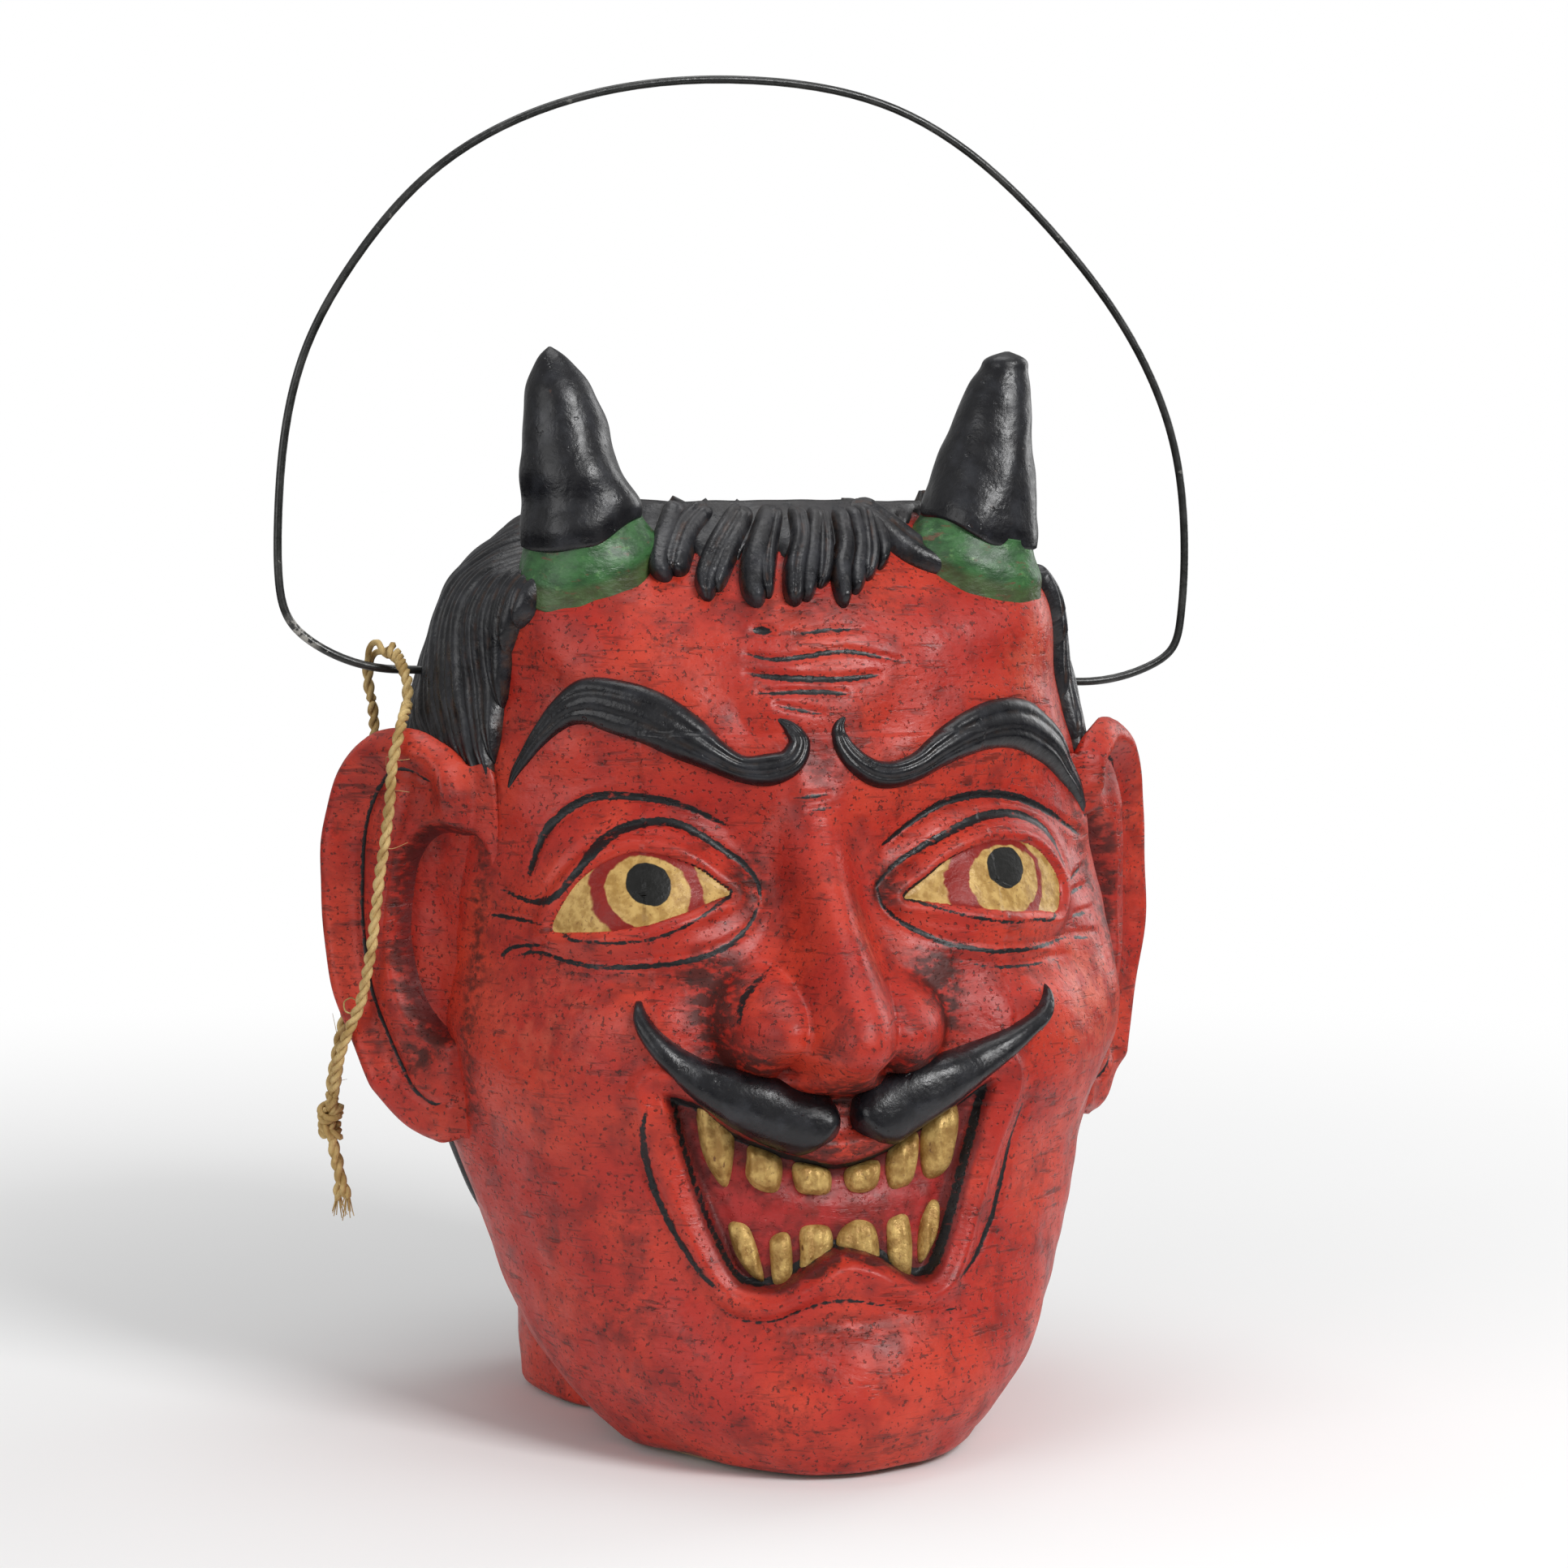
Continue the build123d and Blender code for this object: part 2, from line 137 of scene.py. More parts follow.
LOWER_TEETH = [
    [(-28.6, 60.4), (-23.9, 59.7), (-20.9, 48.8), (-22.4, 47.8), (-25.5, 50.3), (-28, 55)],
    [(-18.6, 57.4), (-14.1, 57.9), (-14.2, 47.4), (-18.3, 46.4), (-19.1, 52.4)],
    [(-10.9, 59.8), (-4.1, 59.6), (-4, 52.9), (-11.3, 49.3), (-11.6, 53.8)],
    [(-1.2, 58.6), (3.3, 61.3), (8.1, 58.9), (8.7, 51.2), (4.4, 51.8), (-1.9, 54.6)],
    [(12.1, 60.8), (17.6, 60.7), (17.4, 47.2), (12, 50.2), (11.4, 55.5)],
    [(22.6, 62.9), (26.6, 62.9), (25, 55), (20.6, 49.7), (20.1, 54.7)],
]
# painted lines: (widest half width, points)
PAINTED_LINES = [
    (1.1, [(-14, 199.5), (-9.6, 199.3)]),
    (.55, [(-3.8, 198.5), (4.5, 199.4), (12.9, 199.5)]),
    (.65, [(-16.2, 193.9), (-8.3, 192.5), (8.1, 194.3), (22, 191.7)]),
    (.85, [(-16.4, 189.3), (-8.6, 188.2), (5.5, 187.7), (16.2, 188.5)]),
    (.65, [(-13.8, 184.4), (-0.8, 184.8), (7.5, 184.1)]),
    (.5, [(-10, 181.4), (0.9, 179.4)]),
    (.5, [(-7.5, 159.6), (1.5, 160.6)]),
    (.4, [(-4.5, 156.8), (2.5, 157.4)]),
    (.45, [(-31.4, 41.4), (-26.1, 38.4), (-19.3, 38.2), (-13.4, 40.6), (-6.8, 42.6), (0, 42.7), (6.8, 41.2),
           (15.6, 39), (29.4, 38)]),
    (.75, [(-46.7, 89.8), (-47.4, 83.1), (-45.9, 74.3), (-43.3, 65.6), (-39.4, 57), (-34.4, 48.6),
           (-29.8, 44.6)]),
    (.75, [(47, 85.6), (44.4, 78), (41.8, 67.8), (38.1, 57.1), (33, 49), (28.1, 45.4)]),
    (.35, [(-51.7, 119), (-45.1, 118.6), (-37.6, 118.6)]),
    (.35, [(30.5, 120.4), (39.1, 118.4), (50.3, 117.6), (64.3, 117.8)]),
    (.6, [(-75.6, 129.7), (-66.4, 129.2)]),
    (.55, [(-74.9, 118.6), (-71.4, 122.6), (-65, 124.1)]),
    (.5, [(70.9, 135.3), (77, 137.5)]),
    (.5, [(69.5, 132.3), (77, 133)]),
    (.5, [(69, 126.8), (76, 127)]),
    (.5, [(68.2, 122.1), (75, 121)]),
    (.5, [(-27, 108), (-25.9, 112.8), (-22, 117), (-16, 120.8)]),
    (1.1, LID_CREASE["right"]), (1.1, LID_CREASE["left"]),
    (1.05, UPPER_LID["right"]), (1.05, UPPER_LID["left"]),
    (.7, LOWER_LID["right"]), (.7, LOWER_LID["left"]),
]


# ------------------------------------------------------------------ curves and fields
def natural_curve(xs, ys, at):
    """The smoothest cubic through the points (xs, ys), read at the places in at."""
    count = len(xs)
    step = np.diff(xs)
    matrix = np.eye(count)
    rhs = np.zeros(count)
    for i in range(1, count - 1):
        matrix[i, i - 1:i + 2] = step[i - 1], 2 * (step[i - 1] + step[i]), step[i]
        rhs[i] = 6 * ((ys[i + 1] - ys[i]) / step[i] - (ys[i] - ys[i - 1]) / step[i - 1])
    bend = np.linalg.solve(matrix, rhs)
    i = np.clip(np.searchsorted(xs, at) - 1, 0, count - 2)
    t = at - xs[i]
    h = step[i]
    slope = (ys[i + 1] - ys[i]) / h - h * (2 * bend[i] + bend[i + 1]) / 6
    return ys[i] + t * slope + t ** 2 * bend[i] / 2 + t ** 3 * (bend[i + 1] - bend[i]) / (6 * h)


def smooth_path(points, per_span=6, closed=False):
    """A Catmull-Rom curve through the points, of any number of columns."""
    p = np.array(points, float)
    if closed:
        p = np.vstack([p[-1:], p, p[:2]])
    else:
        p = np.vstack([2 * p[0] - p[1], p, 2 * p[-1] - p[-2]])
    t = np.linspace(0, 1, per_span, endpoint=False)[:, None]
    spans = []
    for a, b, c, d in zip(p[:-3], p[1:-2], p[2:-1], p[3:]):
        spans.append(0.5 * (2 * b + (c - a) * t + (2 * a - 5 * b + 4 * c - d) * t ** 2
                            + (3 * b - a - 3 * c + d) * t ** 3))
    if not closed:
        spans.append(p[-2][None])
    return np.vstack(spans)


def even_path(points, count, closed=False):
    """The smooth curve through the points, at count equal steps of length."""
    path = smooth_path(points, 12, closed)
    if closed:
        path = np.vstack([path, path[:1]])
    length = np.concatenate([[0], np.cumsum(np.linalg.norm(np.diff(path[:, :2], axis=0), axis=1))])
    at = np.linspace(0, length[-1], count, endpoint=not closed)
    return np.column_stack([np.interp(at, length, path[:, k]) for k in range(path.shape[1])])


def smooth_step(value, low, high):
    t = np.clip((value - low) / (high - low), 0, 1)
    return t * t * (3 - 2 * t)


def soft_max(a, b, softness):
    """The larger of a and b, with a rounded hollow where they cross."""
    share = np.clip(0.5 + 0.5 * (a - b) / softness, 0, 1)
    return b + (a - b) * share + softness * share * (1 - share)


def swell(x, z, centre, radii, height):
    """A rounded mound, or a hollow if height is negative."""
    return height * np.exp(-((x - centre[0]) / radii[0]) ** 2 - ((z - centre[1]) / radii[1]) ** 2)


def dome(x, z, centre, radii, height, power=0.6):
    """A mound with a firm edge, for the wings of a nose."""
    q = ((x - centre[0]) / radii[0]) ** 2 + ((z - centre[1]) / radii[1]) ** 2
    return height * np.clip(1 - q, 0, None) ** power


def inside_stroke(x, z, path, half_widths, reach=9.0):
    """How far inside a stroke of that path each point lies, in mm; negative is outside, down to -reach."""
    best = np.full(np.shape(x), -float(reach))
    low, high = path.min(0) - reach, path.max(0) + reach
    near = (x > low[0]) & (x < high[0]) & (z > low[1]) & (z < high[1])
    px, pz = x[near], z[near]
    found = np.full(px.shape, -float(reach))
    for a, b, wide_a, wide_b in zip(path[:-1], path[1:], half_widths[:-1], half_widths[1:]):
        along = b - a
        t = np.clip(((px - a[0]) * along[0] + (pz - a[1]) * along[1]) / max(along @ along, 1e-9), 0, 1)
        away = np.hypot(px - a[0] - t * along[0], pz - a[1] - t * along[1])
        found = np.maximum(found, wide_a + (wide_b - wide_a) * t - away)
    best[near] = found
    return best


def inside_outline(x, z, outline, reach=14.0):
    """How far inside a closed outline each point lies; negative is outside, down to -reach."""
    path = np.vstack([outline, outline[:1]])
    away = -inside_stroke(x, z, path, np.zeros(len(path)), reach)
    odd = np.zeros(np.shape(x), bool)
    for a, b in zip(path[:-1], path[1:]):
        crosses = (a[1] > z) != (b[1] > z)
        where = (b[0] - a[0]) * (z - a[1]) / (b[1] - a[1] + 1e-12) + a[0]
        odd ^= crosses & (x < where)
    return np.where(odd, away, -away)


def tapered(half_width, count, end_share=0.3):
    """Half widths of a brush line: thin at both ends."""
    t = np.linspace(0, 1, count)
    return half_width * (end_share + (1 - end_share) * np.sin(np.pi * t) ** 0.6)


def waves(points, length, height, seed, terms=9):
    """Gentle unevenness made of a few crossing waves of about that length."""
    rng = np.random.default_rng(seed)
    total = np.zeros(points.shape[:-1])
    for _ in range(terms):
        direction = rng.normal(size=3)
        direction *= 2 * np.pi / length * rng.uniform(0.6, 1.5) / np.linalg.norm(direction)
        total += np.sin(points @ direction + rng.uniform(0, 2 * np.pi))
    return total * height / math.sqrt(terms / 2)


# ------------------------------------------------------------------ the plain head form
def section(levels, z):
    return [natural_curve(levels[:, 0], levels[:, k], z) for k in (1, 2, 3, 4)]


def oval_gap(x, y, oval):
    """About how far a point lies outside an oval that is deeper behind than in front."""
    width, middle, front, back = oval
    depth = np.where(y < middle, front, back)
    return (np.hypot(x / width, (y - middle) / depth) - 1) * np.sqrt(width * depth)


def head_radius(theta, z):
    """Distance from the seam's middle line to the head's surface, looking out along theta (0 is the face)."""
    head = section(HEAD_LEVELS, np.clip(z, 0, RIM_Z))
    neck = section(NECK_LEVELS, np.clip(z, 0, NECK_TOP))
    lift = np.clip(z - NECK_TOP, 0, None)
    s, c = np.sin(theta), np.cos(theta)

    def gap(r):
        x, y = r * s, SEAM_Y - r * c
        return -soft_max(-oval_gap(x, y, head), -oval_gap(x, y, neck) - lift, JAW_FILLET)

    high = np.full(np.shape(z), 160.0)
    low = high.copy()
    for _ in range(40):
        outside = gap(low) > 0
        high = np.where(outside, low, high)
        low = np.where(outside, low - 3.5, low)
    for _ in range(11):
        middle = (low + high) / 2
        outside = gap(middle) > 0
        high = np.where(outside, middle, high)
        low = np.where(outside, low, middle)
    return (low + high) / 2


def around(theta, z, radius):
    return np.stack([radius * np.sin(theta), SEAM_Y - radius * np.cos(theta), z], axis=-1)


def angle_at(x, z):
    """The angle theta at which the head's front surface has that X."""
    low, high = np.full(np.shape(x), -1.5), np.full(np.shape(x), 1.5)
    for _ in range(16):
        middle = (low + high) / 2
        less = head_radius(middle, z) * np.sin(middle) < x
        low = np.where(less, middle, low)
        high = np.where(less, high, middle)
    return (low + high) / 2


# ------------------------------------------------------------------ the modelled face
MOUTH_DEPTH = 5.2
HORN_MOUND = 9.0       # how far the skin rises round each horn


NOSE_RIDGE = np.array([   # height, how far the ridge stands out, half width, middle X
    (86, 0, 11, -3), (90, 1, 12, -3), (93, 11, 12.5, -2.8), (97, 22, 13, -2.4), (102, 29.5, 13.5, -2),
    (108, 31.5, 13, -1.6), (115, 28.5, 11.5, -1.4), (124, 23, 9.2, -1.4), (134, 17.5, 8.2, -1.8),
    (143, 12.5, 8, -2.6), (150, 8.5, 8, -3), (158, 4.5, 8.5, -2.8), (166, 1.4, 9, -2), (174, 0, 10, 0),
], float)
WINGS = [((-16.5, 107.5), (16.0, 14.5), 20.0), ((12.0, 106.0), (15.0, 13.5), 18.0)]
NOSTRILS = [(-13.0, 97.5), (8.0, 97.0)]


def nose_height(x, z):
    """How far the nose stands out of the plain form, towards -Y."""
    inside = (z > 86) & (z < 174) & (np.abs(x) < 42)
    out = np.zeros(np.shape(x))
    px, pz = x[inside], z[inside]
    tall, wide, middle = [natural_curve(NOSE_RIDGE[:, 0], NOSE_RIDGE[:, k], pz) for k in (1, 2, 3)]
    u = np.abs(px - middle) / wide
    ridge = np.clip(tall, 0, None) * np.exp(-1.05 * u ** 2.6)
    wings = np.maximum(*[dome(px, pz, centre, radii, height, 1.15) for centre, radii, height in WINGS])
    shape = soft_max(ridge, wings, 3.4)
    for nostril in NOSTRILS:
        shape -= swell(px, pz, nostril, (4.8, 3.0), 6.0)
    crease = smooth_step(2.4 - np.abs(ridge - wings), 0, 2.4) * smooth_step(wings, 0, 3)
    out[inside] = shape - 0.5 * crease
    return out


def face_height(x, z, in_mouth=False):
    """How far the modelled face stands out of the plain form, along its normal; in_mouth gives the mouth's floor."""
    h = swell(x, z, (0, 197), (46, 22), 1.2)
    for side, sign in SIDE.items():
        cx, cz = EYEBALL[side]
        h += swell(x, z, (sign * 50, 103), (25, 23), 6.5)
        h += swell(x, z, (sign * 56, 202), (20, 13), HORN_MOUND)
        h += swell(x, z, (sign * 21, 146), (11, 15), -4.0)
        h += swell(x, z, (sign * 46, 160), (26, 7), -1.6)
        h += swell(x, z, (sign * 74, 158), (12, 16), -1.5)
        h += swell(x, z, (sign * 45, 115), (26, 5), -1.4)
        h += swell(x, z, (sign * 31, 101), (7, 12), -3.0)
        h += dome(x, z, (cx, cz), (30, 21), 5.5, 1.3)
        path = smooth_path(BROW[side], 4)
        h += 2.0 * np.exp(-(inside_stroke(x, z, path[:, :2], path[:, 2], 20) - 1).clip(None, 0) ** 2 / 60)
        opening = inside_outline(x, z, smooth_path(EYE_OPENING[side], 5, True))
        h += 1.5 * np.exp(-((opening + 2.0) / 1.9) ** 2)
        h -= 3.0 * smooth_step(opening, 0.0, 1.0)
    h += swell(x, z, (84, 112), (16, 27), 4.5) - swell(x, z, (-87, 112), (17, 30), 4.5)
    if in_mouth:
        return h - MOUTH_DEPTH
    mouth = inside_outline(x, z, smooth_path(MOUTH, 5, True))
    h += 2.4 * np.exp(-((mouth + 3.4) / 2.6) ** 2)
    h -= MOUTH_DEPTH * smooth_step(mouth, 0.0, 2.6)
    h += 1.3 * smooth_step(mouth, 4.0, 8.0) * np.exp(-((z - 64) / 4.5) ** 2)
    h += swell(x, z, (-1, 46), (14, 5), 1.8)
    h += swell(x, z, (0, 38), (24, 4), -1.6)
    h += swell(x, z, (0, 20), (26, 14), 3.0)
    h += swell(x, z, (-1, 90), (6, 6), -1.8)
    h += swell(x, z, (0, 171), (5, 8), -1.5)
    for half_width, points in PAINTED_LINES:
        path = smooth_path(points, 5)
        stroke = inside_stroke(x, z, path, tapered(half_width, len(path)), 4)
        h -= (0.35 + 0.45 * half_width) * smooth_step(stroke, -1.3, half_width)
    return h


def sculpted(theta, z, extra=0.0, in_mouth=False, nose=1.0):
    """Points of the modelled head on a grid of theta and z, and its outward normals."""
    base = around(theta, z, head_radius(theta, z))
    across = np.gradient(base, axis=1)
    upward = np.gradient(base, axis=0)
    normal = np.cross(across, upward)
    normal /= np.linalg.norm(normal, axis=-1, keepdims=True)
    outward = np.stack([np.sin(theta), -np.cos(theta), np.zeros_like(theta)], axis=-1)
    normal *= np.sign((normal * outward).sum(-1, keepdims=True))
    front = smooth_step(np.cos(theta), -0.05, 0.3)
    x, height = base[..., 0], base[..., 2]
    rise = front * face_height(x, height, in_mouth) + waves(base, 46, 0.5, 1) + waves(base, 13, 0.1, 2)
    forward = nose * front * nose_height(x, height)
    points = base + normal * (rise + extra)[..., None]
    points[..., 1] -= forward
    return points, normal


def face_place(x, z, height):
    """Points of the modelled face at (x, z), lifted along the normal. x and z are grids."""
    return sculpted(angle_at(x, z), z, height)[0]


def lip_place(x, z, height):
    """Points over the face as it would be with neither nose nor mouth."""
    return sculpted(angle_at(x, z), z, height + MOUTH_DEPTH, True, 0.0)[0]


def mouth_place(x, z, height):
    """Points over the floor of the mouth at (x, z)."""
    return sculpted(angle_at(x, z), z, height, True)[0]


# ------------------------------------------------------------------ closed meshes
class Form:
    """A mesh in the making: points in mm, faces by number, and a few painted values at each point."""

    def __init__(self):
        self.points = []
        self.faces = []
        self.slots = []
        self.values = []
        self.count = 0

    def add(self, points, faces, slot=0, **values):
        points = np.asarray(points, float).reshape(-1, 3)
        self.points.append(points)
        for block in faces:
            self.faces += (np.asarray(block) + self.count).tolist()
            self.slots += [slot] * len(block)
        self.values.append((len(points), values))
        self.count += len(points)

    def build(self, name, materials, body="head", stands_for=()):
        mesh = bpy.data.meshes.new(name)
        mesh.from_pydata((np.vstack(self.points) * MM).tolist(), [], self.faces)
        names = sorted({key for _, values in self.values for key in values})
        for key in names:
            column = np.concatenate([
                np.broadcast_to(np.ravel(values.get(key, 0.0)), (size,)) for size, values in self.values])
            mesh.attributes.new(key, "FLOAT", "POINT").data.foreach_set("value", column.astype(np.float32))
        for material in materials:
            mesh.materials.append(material)
        mesh.polygons.foreach_set("material_index", self.slots)
        bm = bmesh.new()
        bm.from_mesh(mesh)
        bmesh.ops.recalc_face_normals(bm, faces=bm.faces)
        bm.to_mesh(mesh)
        bm.free()
        mesh.shade_smooth()
        mesh.update()
        obj = bpy.data.objects.new(name, mesh)
        bpy.context.scene.collection.objects.link(obj)
        if body:
            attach(obj, body)
        if stands_for:
            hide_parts(*stands_for)
        return obj


def grid_faces(rows, columns, start=0, wrap=False):
    """Quads of a grid of points stored row by row."""
    i = np.arange(rows - 1)[:, None]
    j = np.arange(columns if wrap else columns - 1)[None, :]
    k = (j + 1) % columns
    quads = np.stack([i * columns + j, i * columns + k, (i + 1) * columns + k, (i + 1) * columns + j], -1)
    return quads.reshape(-1, 4) + start


def rim_loop(rows, columns, start=0):
    """The border of a grid, once round."""
    top = np.arange(columns)
    right = np.arange(1, rows) * columns + columns - 1
    bottom = (rows - 1) * columns + np.arange(columns - 2, -1, -1)
    left = np.arange(rows - 2, 0, -1) * columns
    return np.concatenate([top, right, bottom, left]) + start


def add_sheet(form, top, bottom, slot=0, **values):
    """A thin closed piece: a grid of top points, a grid of bottom points and the walls round its border."""
    rows, columns = top.shape[:2]
    count = rows * columns
    loop = rim_loop(rows, columns)
    after = np.roll(loop, -1)
    walls = np.stack([loop, after, after + count, loop + count], -1)
    both = {key: np.concatenate([np.ravel(v), np.ravel(v)]) for key, v in values.items()}
    form.add(np.concatenate([top.reshape(-1, 3), bottom.reshape(-1, 3)]),
             [grid_faces(rows, columns), grid_faces(rows, columns, count), walls], slot, **both)


def add_rings(form, rings, slot=0, **values):
    """A closed piece from a stack of rings; its first and last rings close in single points."""
    rings = np.asarray(rings, float)
    count, around_count = rings.shape[:2]
    poles = np.array([rings[0].mean(0), rings[-1].mean(0)])
    points = np.concatenate([rings.reshape(-1, 3), poles])
    j = np.arange(around_count)
    k = (j + 1) % around_count
    first, last = count * around_count, count * around_count + 1
    end = (count - 1) * around_count
    caps = [np.stack([np.full(around_count, first), j, k], -1),
            np.stack([np.full(around_count, last), end + k, end + j], -1)]
    full = {}
    for key, v in values.items():
        v = np.asarray(v, float)
        full[key] = np.concatenate([v.ravel(), [v[0].mean(), v[-1].mean()]]) if v.ndim else v
    form.add(points, [grid_faces(count, around_count, wrap=True)] + caps, slot, **full)


def add_outline_piece(form, outline, place, front, back, inner_rings=14, slot=0, **values):
    """A closed piece of a flat outline: front(x, z, inset) and back give heights, place puts them on the head."""
    centre = outline.mean(0)
    shares = np.concatenate([np.linspace(0.04, 1, inner_rings), np.linspace(1, 0.04, inner_rings // 2)])
    rings, heights = [], []
    for number, share in enumerate(shares):
        ring = centre + (outline - centre) * share
        rings.append(ring)
        heights.append(front(ring, share) if number < inner_rings else back(ring, share))
    rings = np.array(rings)
    add_rings(form, place(rings[..., 0], rings[..., 1], np.array(heights)), slot, **values)


# ------------------------------------------------------------------ the two shells and the base
def spaced(*stretches):
    """Values over stretches given as (from, to, step)."""
    parts = [np.linspace(a, b, max(int(round((b - a) / step)), 1), endpoint=False) for a, b, step in stretches]
    return np.concatenate(parts + [[stretches[-1][1]]])


def edge_rounding(z, radius=2.6):
    """How much the surface draws in near its cut base and its rim."""
    t = np.clip(np.maximum(radius - z, z - RIM_Z + radius) / radius, 0, 1)
    return -radius * (1 - np.sqrt(1 - t * t))


def head_paint(theta, points):
    """Painted values on the head: black lines, brown antiquing and painted shade in the hollows, painted highlights and
    the mouth.
    """
    x, z = points[..., 0], points[..., 2]
    front = smooth_step(np.cos(theta), 0.0, 0.15)
    ink = np.full(x.shape, -3.0)
    for half_width, line in PAINTED_LINES:
        path = smooth_path(line, 5)
        ink = np.maximum(ink, inside_stroke(x, z, path, tapered(half_width, len(path)), 3))
    gap = np.full(x.shape, -3.0)
    for outline in UPPER_TEETH + LOWER_TEETH:
        path = smooth_path(outline, 3, True)
        path = np.vstack([path, path[:1]])
        gap = np.maximum(gap, inside_stroke(x, z, path, np.full(len(path), 0.9), 3))
    mouth = inside_outline(x, z, smooth_path(MOUTH, 5, True))
    ink = np.maximum(ink, 0.9 - np.abs(mouth - 1.8))
    for side in SIDE:
        opening = inside_outline(x, z, smooth_path(EYE_OPENING[side], 5, True))
        ink = np.maximum(ink, 0.45 - np.abs(opening + 0.1))
    # antiquing and painted shade: dark round the foot of each tooth and in a band just inside the mouth's rim
    dirt = 1.1 * smooth_step(gap, -1.0, 0.7) + 1.1 * np.exp(-((mouth - 3.0) / 2.4) ** 2)
    # antiquing and painted shade in the eye corners, round and under the nose, under the lids, brows, lip and fringe,
    # on the jaw and at the base
    spots = [((-18, 139), (7, 8), .9), ((15, 139), (6, 8), .9), ((-28, 120), (9, 6), .8),
             ((22, 120), (8, 6), .7), ((-25, 98), (9, 6), 1.0), ((17, 97), (9, 5), 1.0), ((-2, 90), (12, 7), 1.1), ((-2, 78), (16, 3), .8),
             ((-31, 112), (5, 9), .7), ((27, 113), (5, 9), .7),
             ((0, 167), (9, 9), .6), ((-52, 118), (20, 4), .5), ((52, 116), (20, 4), .5), ((0, 36), (34, 5), .55),
             ((-30, 157), (16, 4), .35), ((32, 156), (16, 4), .35), ((-49, 58), (5, 22), .35),
             ((50, 60), (5, 22), .35), ((0, 205), (42, 5), .55), ((-60, 30), (22, 18), .3), ((0, 6), (60, 7), .35),
             ((-33, 108), (5, 9), .5), ((28, 108), (5, 9), .5), ((20, 96), (16, 4), .5)]
    for centre, radii, amount in spots:
        dirt += swell(x, z, centre, radii, amount)
    # painted shade along the crease in front of the ears
    dirt += 0.7 * np.exp(-((np.degrees(np.abs(theta)) - 55) / 3.5) ** 2) * smooth_step(z, 66, 80) * \
        (1 - smooth_step(z, 160, 175))
    # painted highlights: a salmon tone on the tops of the cheeks, the forehead, the nose ridge and the chin
    pale = swell(x, z, (72, 108), (13, 20), .9) + swell(x, z, (66, 190), (14, 20), .8) \
        + swell(x, z, (-66, 104), (14, 16), .55) + swell(x, z, (6, 126), (3, 16), .6) \
        + swell(x, z, (-62, 178), (10, 24), .35) + swell(x, z, (-2, 22), (30, 9), .3)
    return {
        "ink": np.clip(ink * front + 3 * front, 0, None),
        "dirt": dirt * front,
        "pale": pale * front,
        "mouth": np.clip(mouth + 4, 0, None) * front,
        "hair_rim": smooth_step(z, 226.5, 228.5),
    }


def shell(name, angles, heights, inner_angles, inner_heights, materials, node):
    """One shell of the head: modelled outside, plain pasted paper inside, closed round its border."""
    form = Form()
    theta, z = np.meshgrid(np.radians(angles), heights)
    points, _ = sculpted(theta, z, edge_rounding(z))
    form.add(points, [grid_faces(*theta.shape)], 0, **head_paint(theta, points))
    outer_loop = rim_loop(*theta.shape)
    inner_theta, inner_z = np.meshgrid(np.radians(inner_angles), inner_heights)
    radius = head_radius(inner_theta, inner_z) - WALL + edge_rounding(RIM_Z - inner_z)
    radius += waves(around(inner_theta, inner_z, radius), 18, 0.35, 5)
    inner = around(inner_theta, inner_z, radius)
    start = form.count
    form.add(inner, [grid_faces(*inner_theta.shape)], 1)
    inner_loop = rim_loop(*inner_theta.shape, start)
    corners_outer = np.cumsum([0, len(angles) - 1, len(heights) - 1, len(angles) - 1, len(heights) - 1])
    corners_inner = np.cumsum(
        [0, len(inner_angles) - 1, len(inner_heights) - 1, len(inner_angles) - 1, len(inner_heights) - 1])
    for k in range(4):
        a = np.take(outer_loop, np.arange(corners_outer[k], corners_outer[k + 1] + 1), mode="wrap")
        b = np.take(inner_loop, np.arange(corners_inner[k], corners_inner[k + 1] + 1), mode="wrap")
        strip = ribbon(a, b)
        form.faces += strip
        form.slots += [1] * len(strip)
    return form.build(name, materials, "head", [node])


def ribbon(line_a, line_b):
    """Triangles between two lines of points that run the same way."""
    i = j = 0
    triangles = []
    while i < len(line_a) - 1 or j < len(line_b) - 1:
        share_a = (i + 1) / (len(line_a) - 1)
        share_b = (j + 1) / (len(line_b) - 1)
        if i < len(line_a) - 1 and (share_a <= share_b or j >= len(line_b) - 1):
            triangles.append([int(line_a[i]), int(line_a[i + 1]), int(line_b[j])])
            i += 1
        else:
            triangles.append([int(line_a[i]), int(line_b[j + 1]), int(line_b[j])])
            j += 1
    return triangles


def head_shells():
    materials = [MATERIAL["red"], MATERIAL["paper"]]
    angles = spaced((-90, -83, .9), (-83, -77, .4), (-77, -44, .8), (-44, 44, .37), (44, 77, .8), (77, 83, .4),
                    (83, 90, .9))
    heights = spaced((0, 34, 1.15), (34, 205, .56), (205, RIM_Z, 1.0))
    shell("face_shell_painted", angles, heights, spaced((-90, 90, 3)), spaced((0, RIM_Z, 4)), materials,
          "face_shell")
    shell("back_shell_painted", spaced((90, 270, 1.3)), spaced((0, RIM_Z, 1.6)), spaced((90, 270, 3)),
          spaced((0, RIM_Z, 4)), materials, "back_shell")


def base_disc():
    """The pasted card disc that closes the neck."""
    form = Form()
    theta = np.linspace(-np.pi, np.pi, 120, endpoint=False)
    rings = []
    for z, share in [(0.4, .05), (0.4, .5), (0.4, .93), (0.7, .99), (2, 1), (5, 1), (6, .985), (6.2, .5), (6.2, .05)]:
        radius = (head_radius(theta, np.full(theta.shape, 3.0)) - WALL + 0.3) * share
        ring = around(theta, np.full(theta.shape, z), radius)
        ring[:, 2] += waves(ring, 25, 0.15, 4)
        rings.append(ring)
    add_rings(form, rings)
    form.build("base_disc_card", [MATERIAL["paper"]], "head", ["base_disc"])


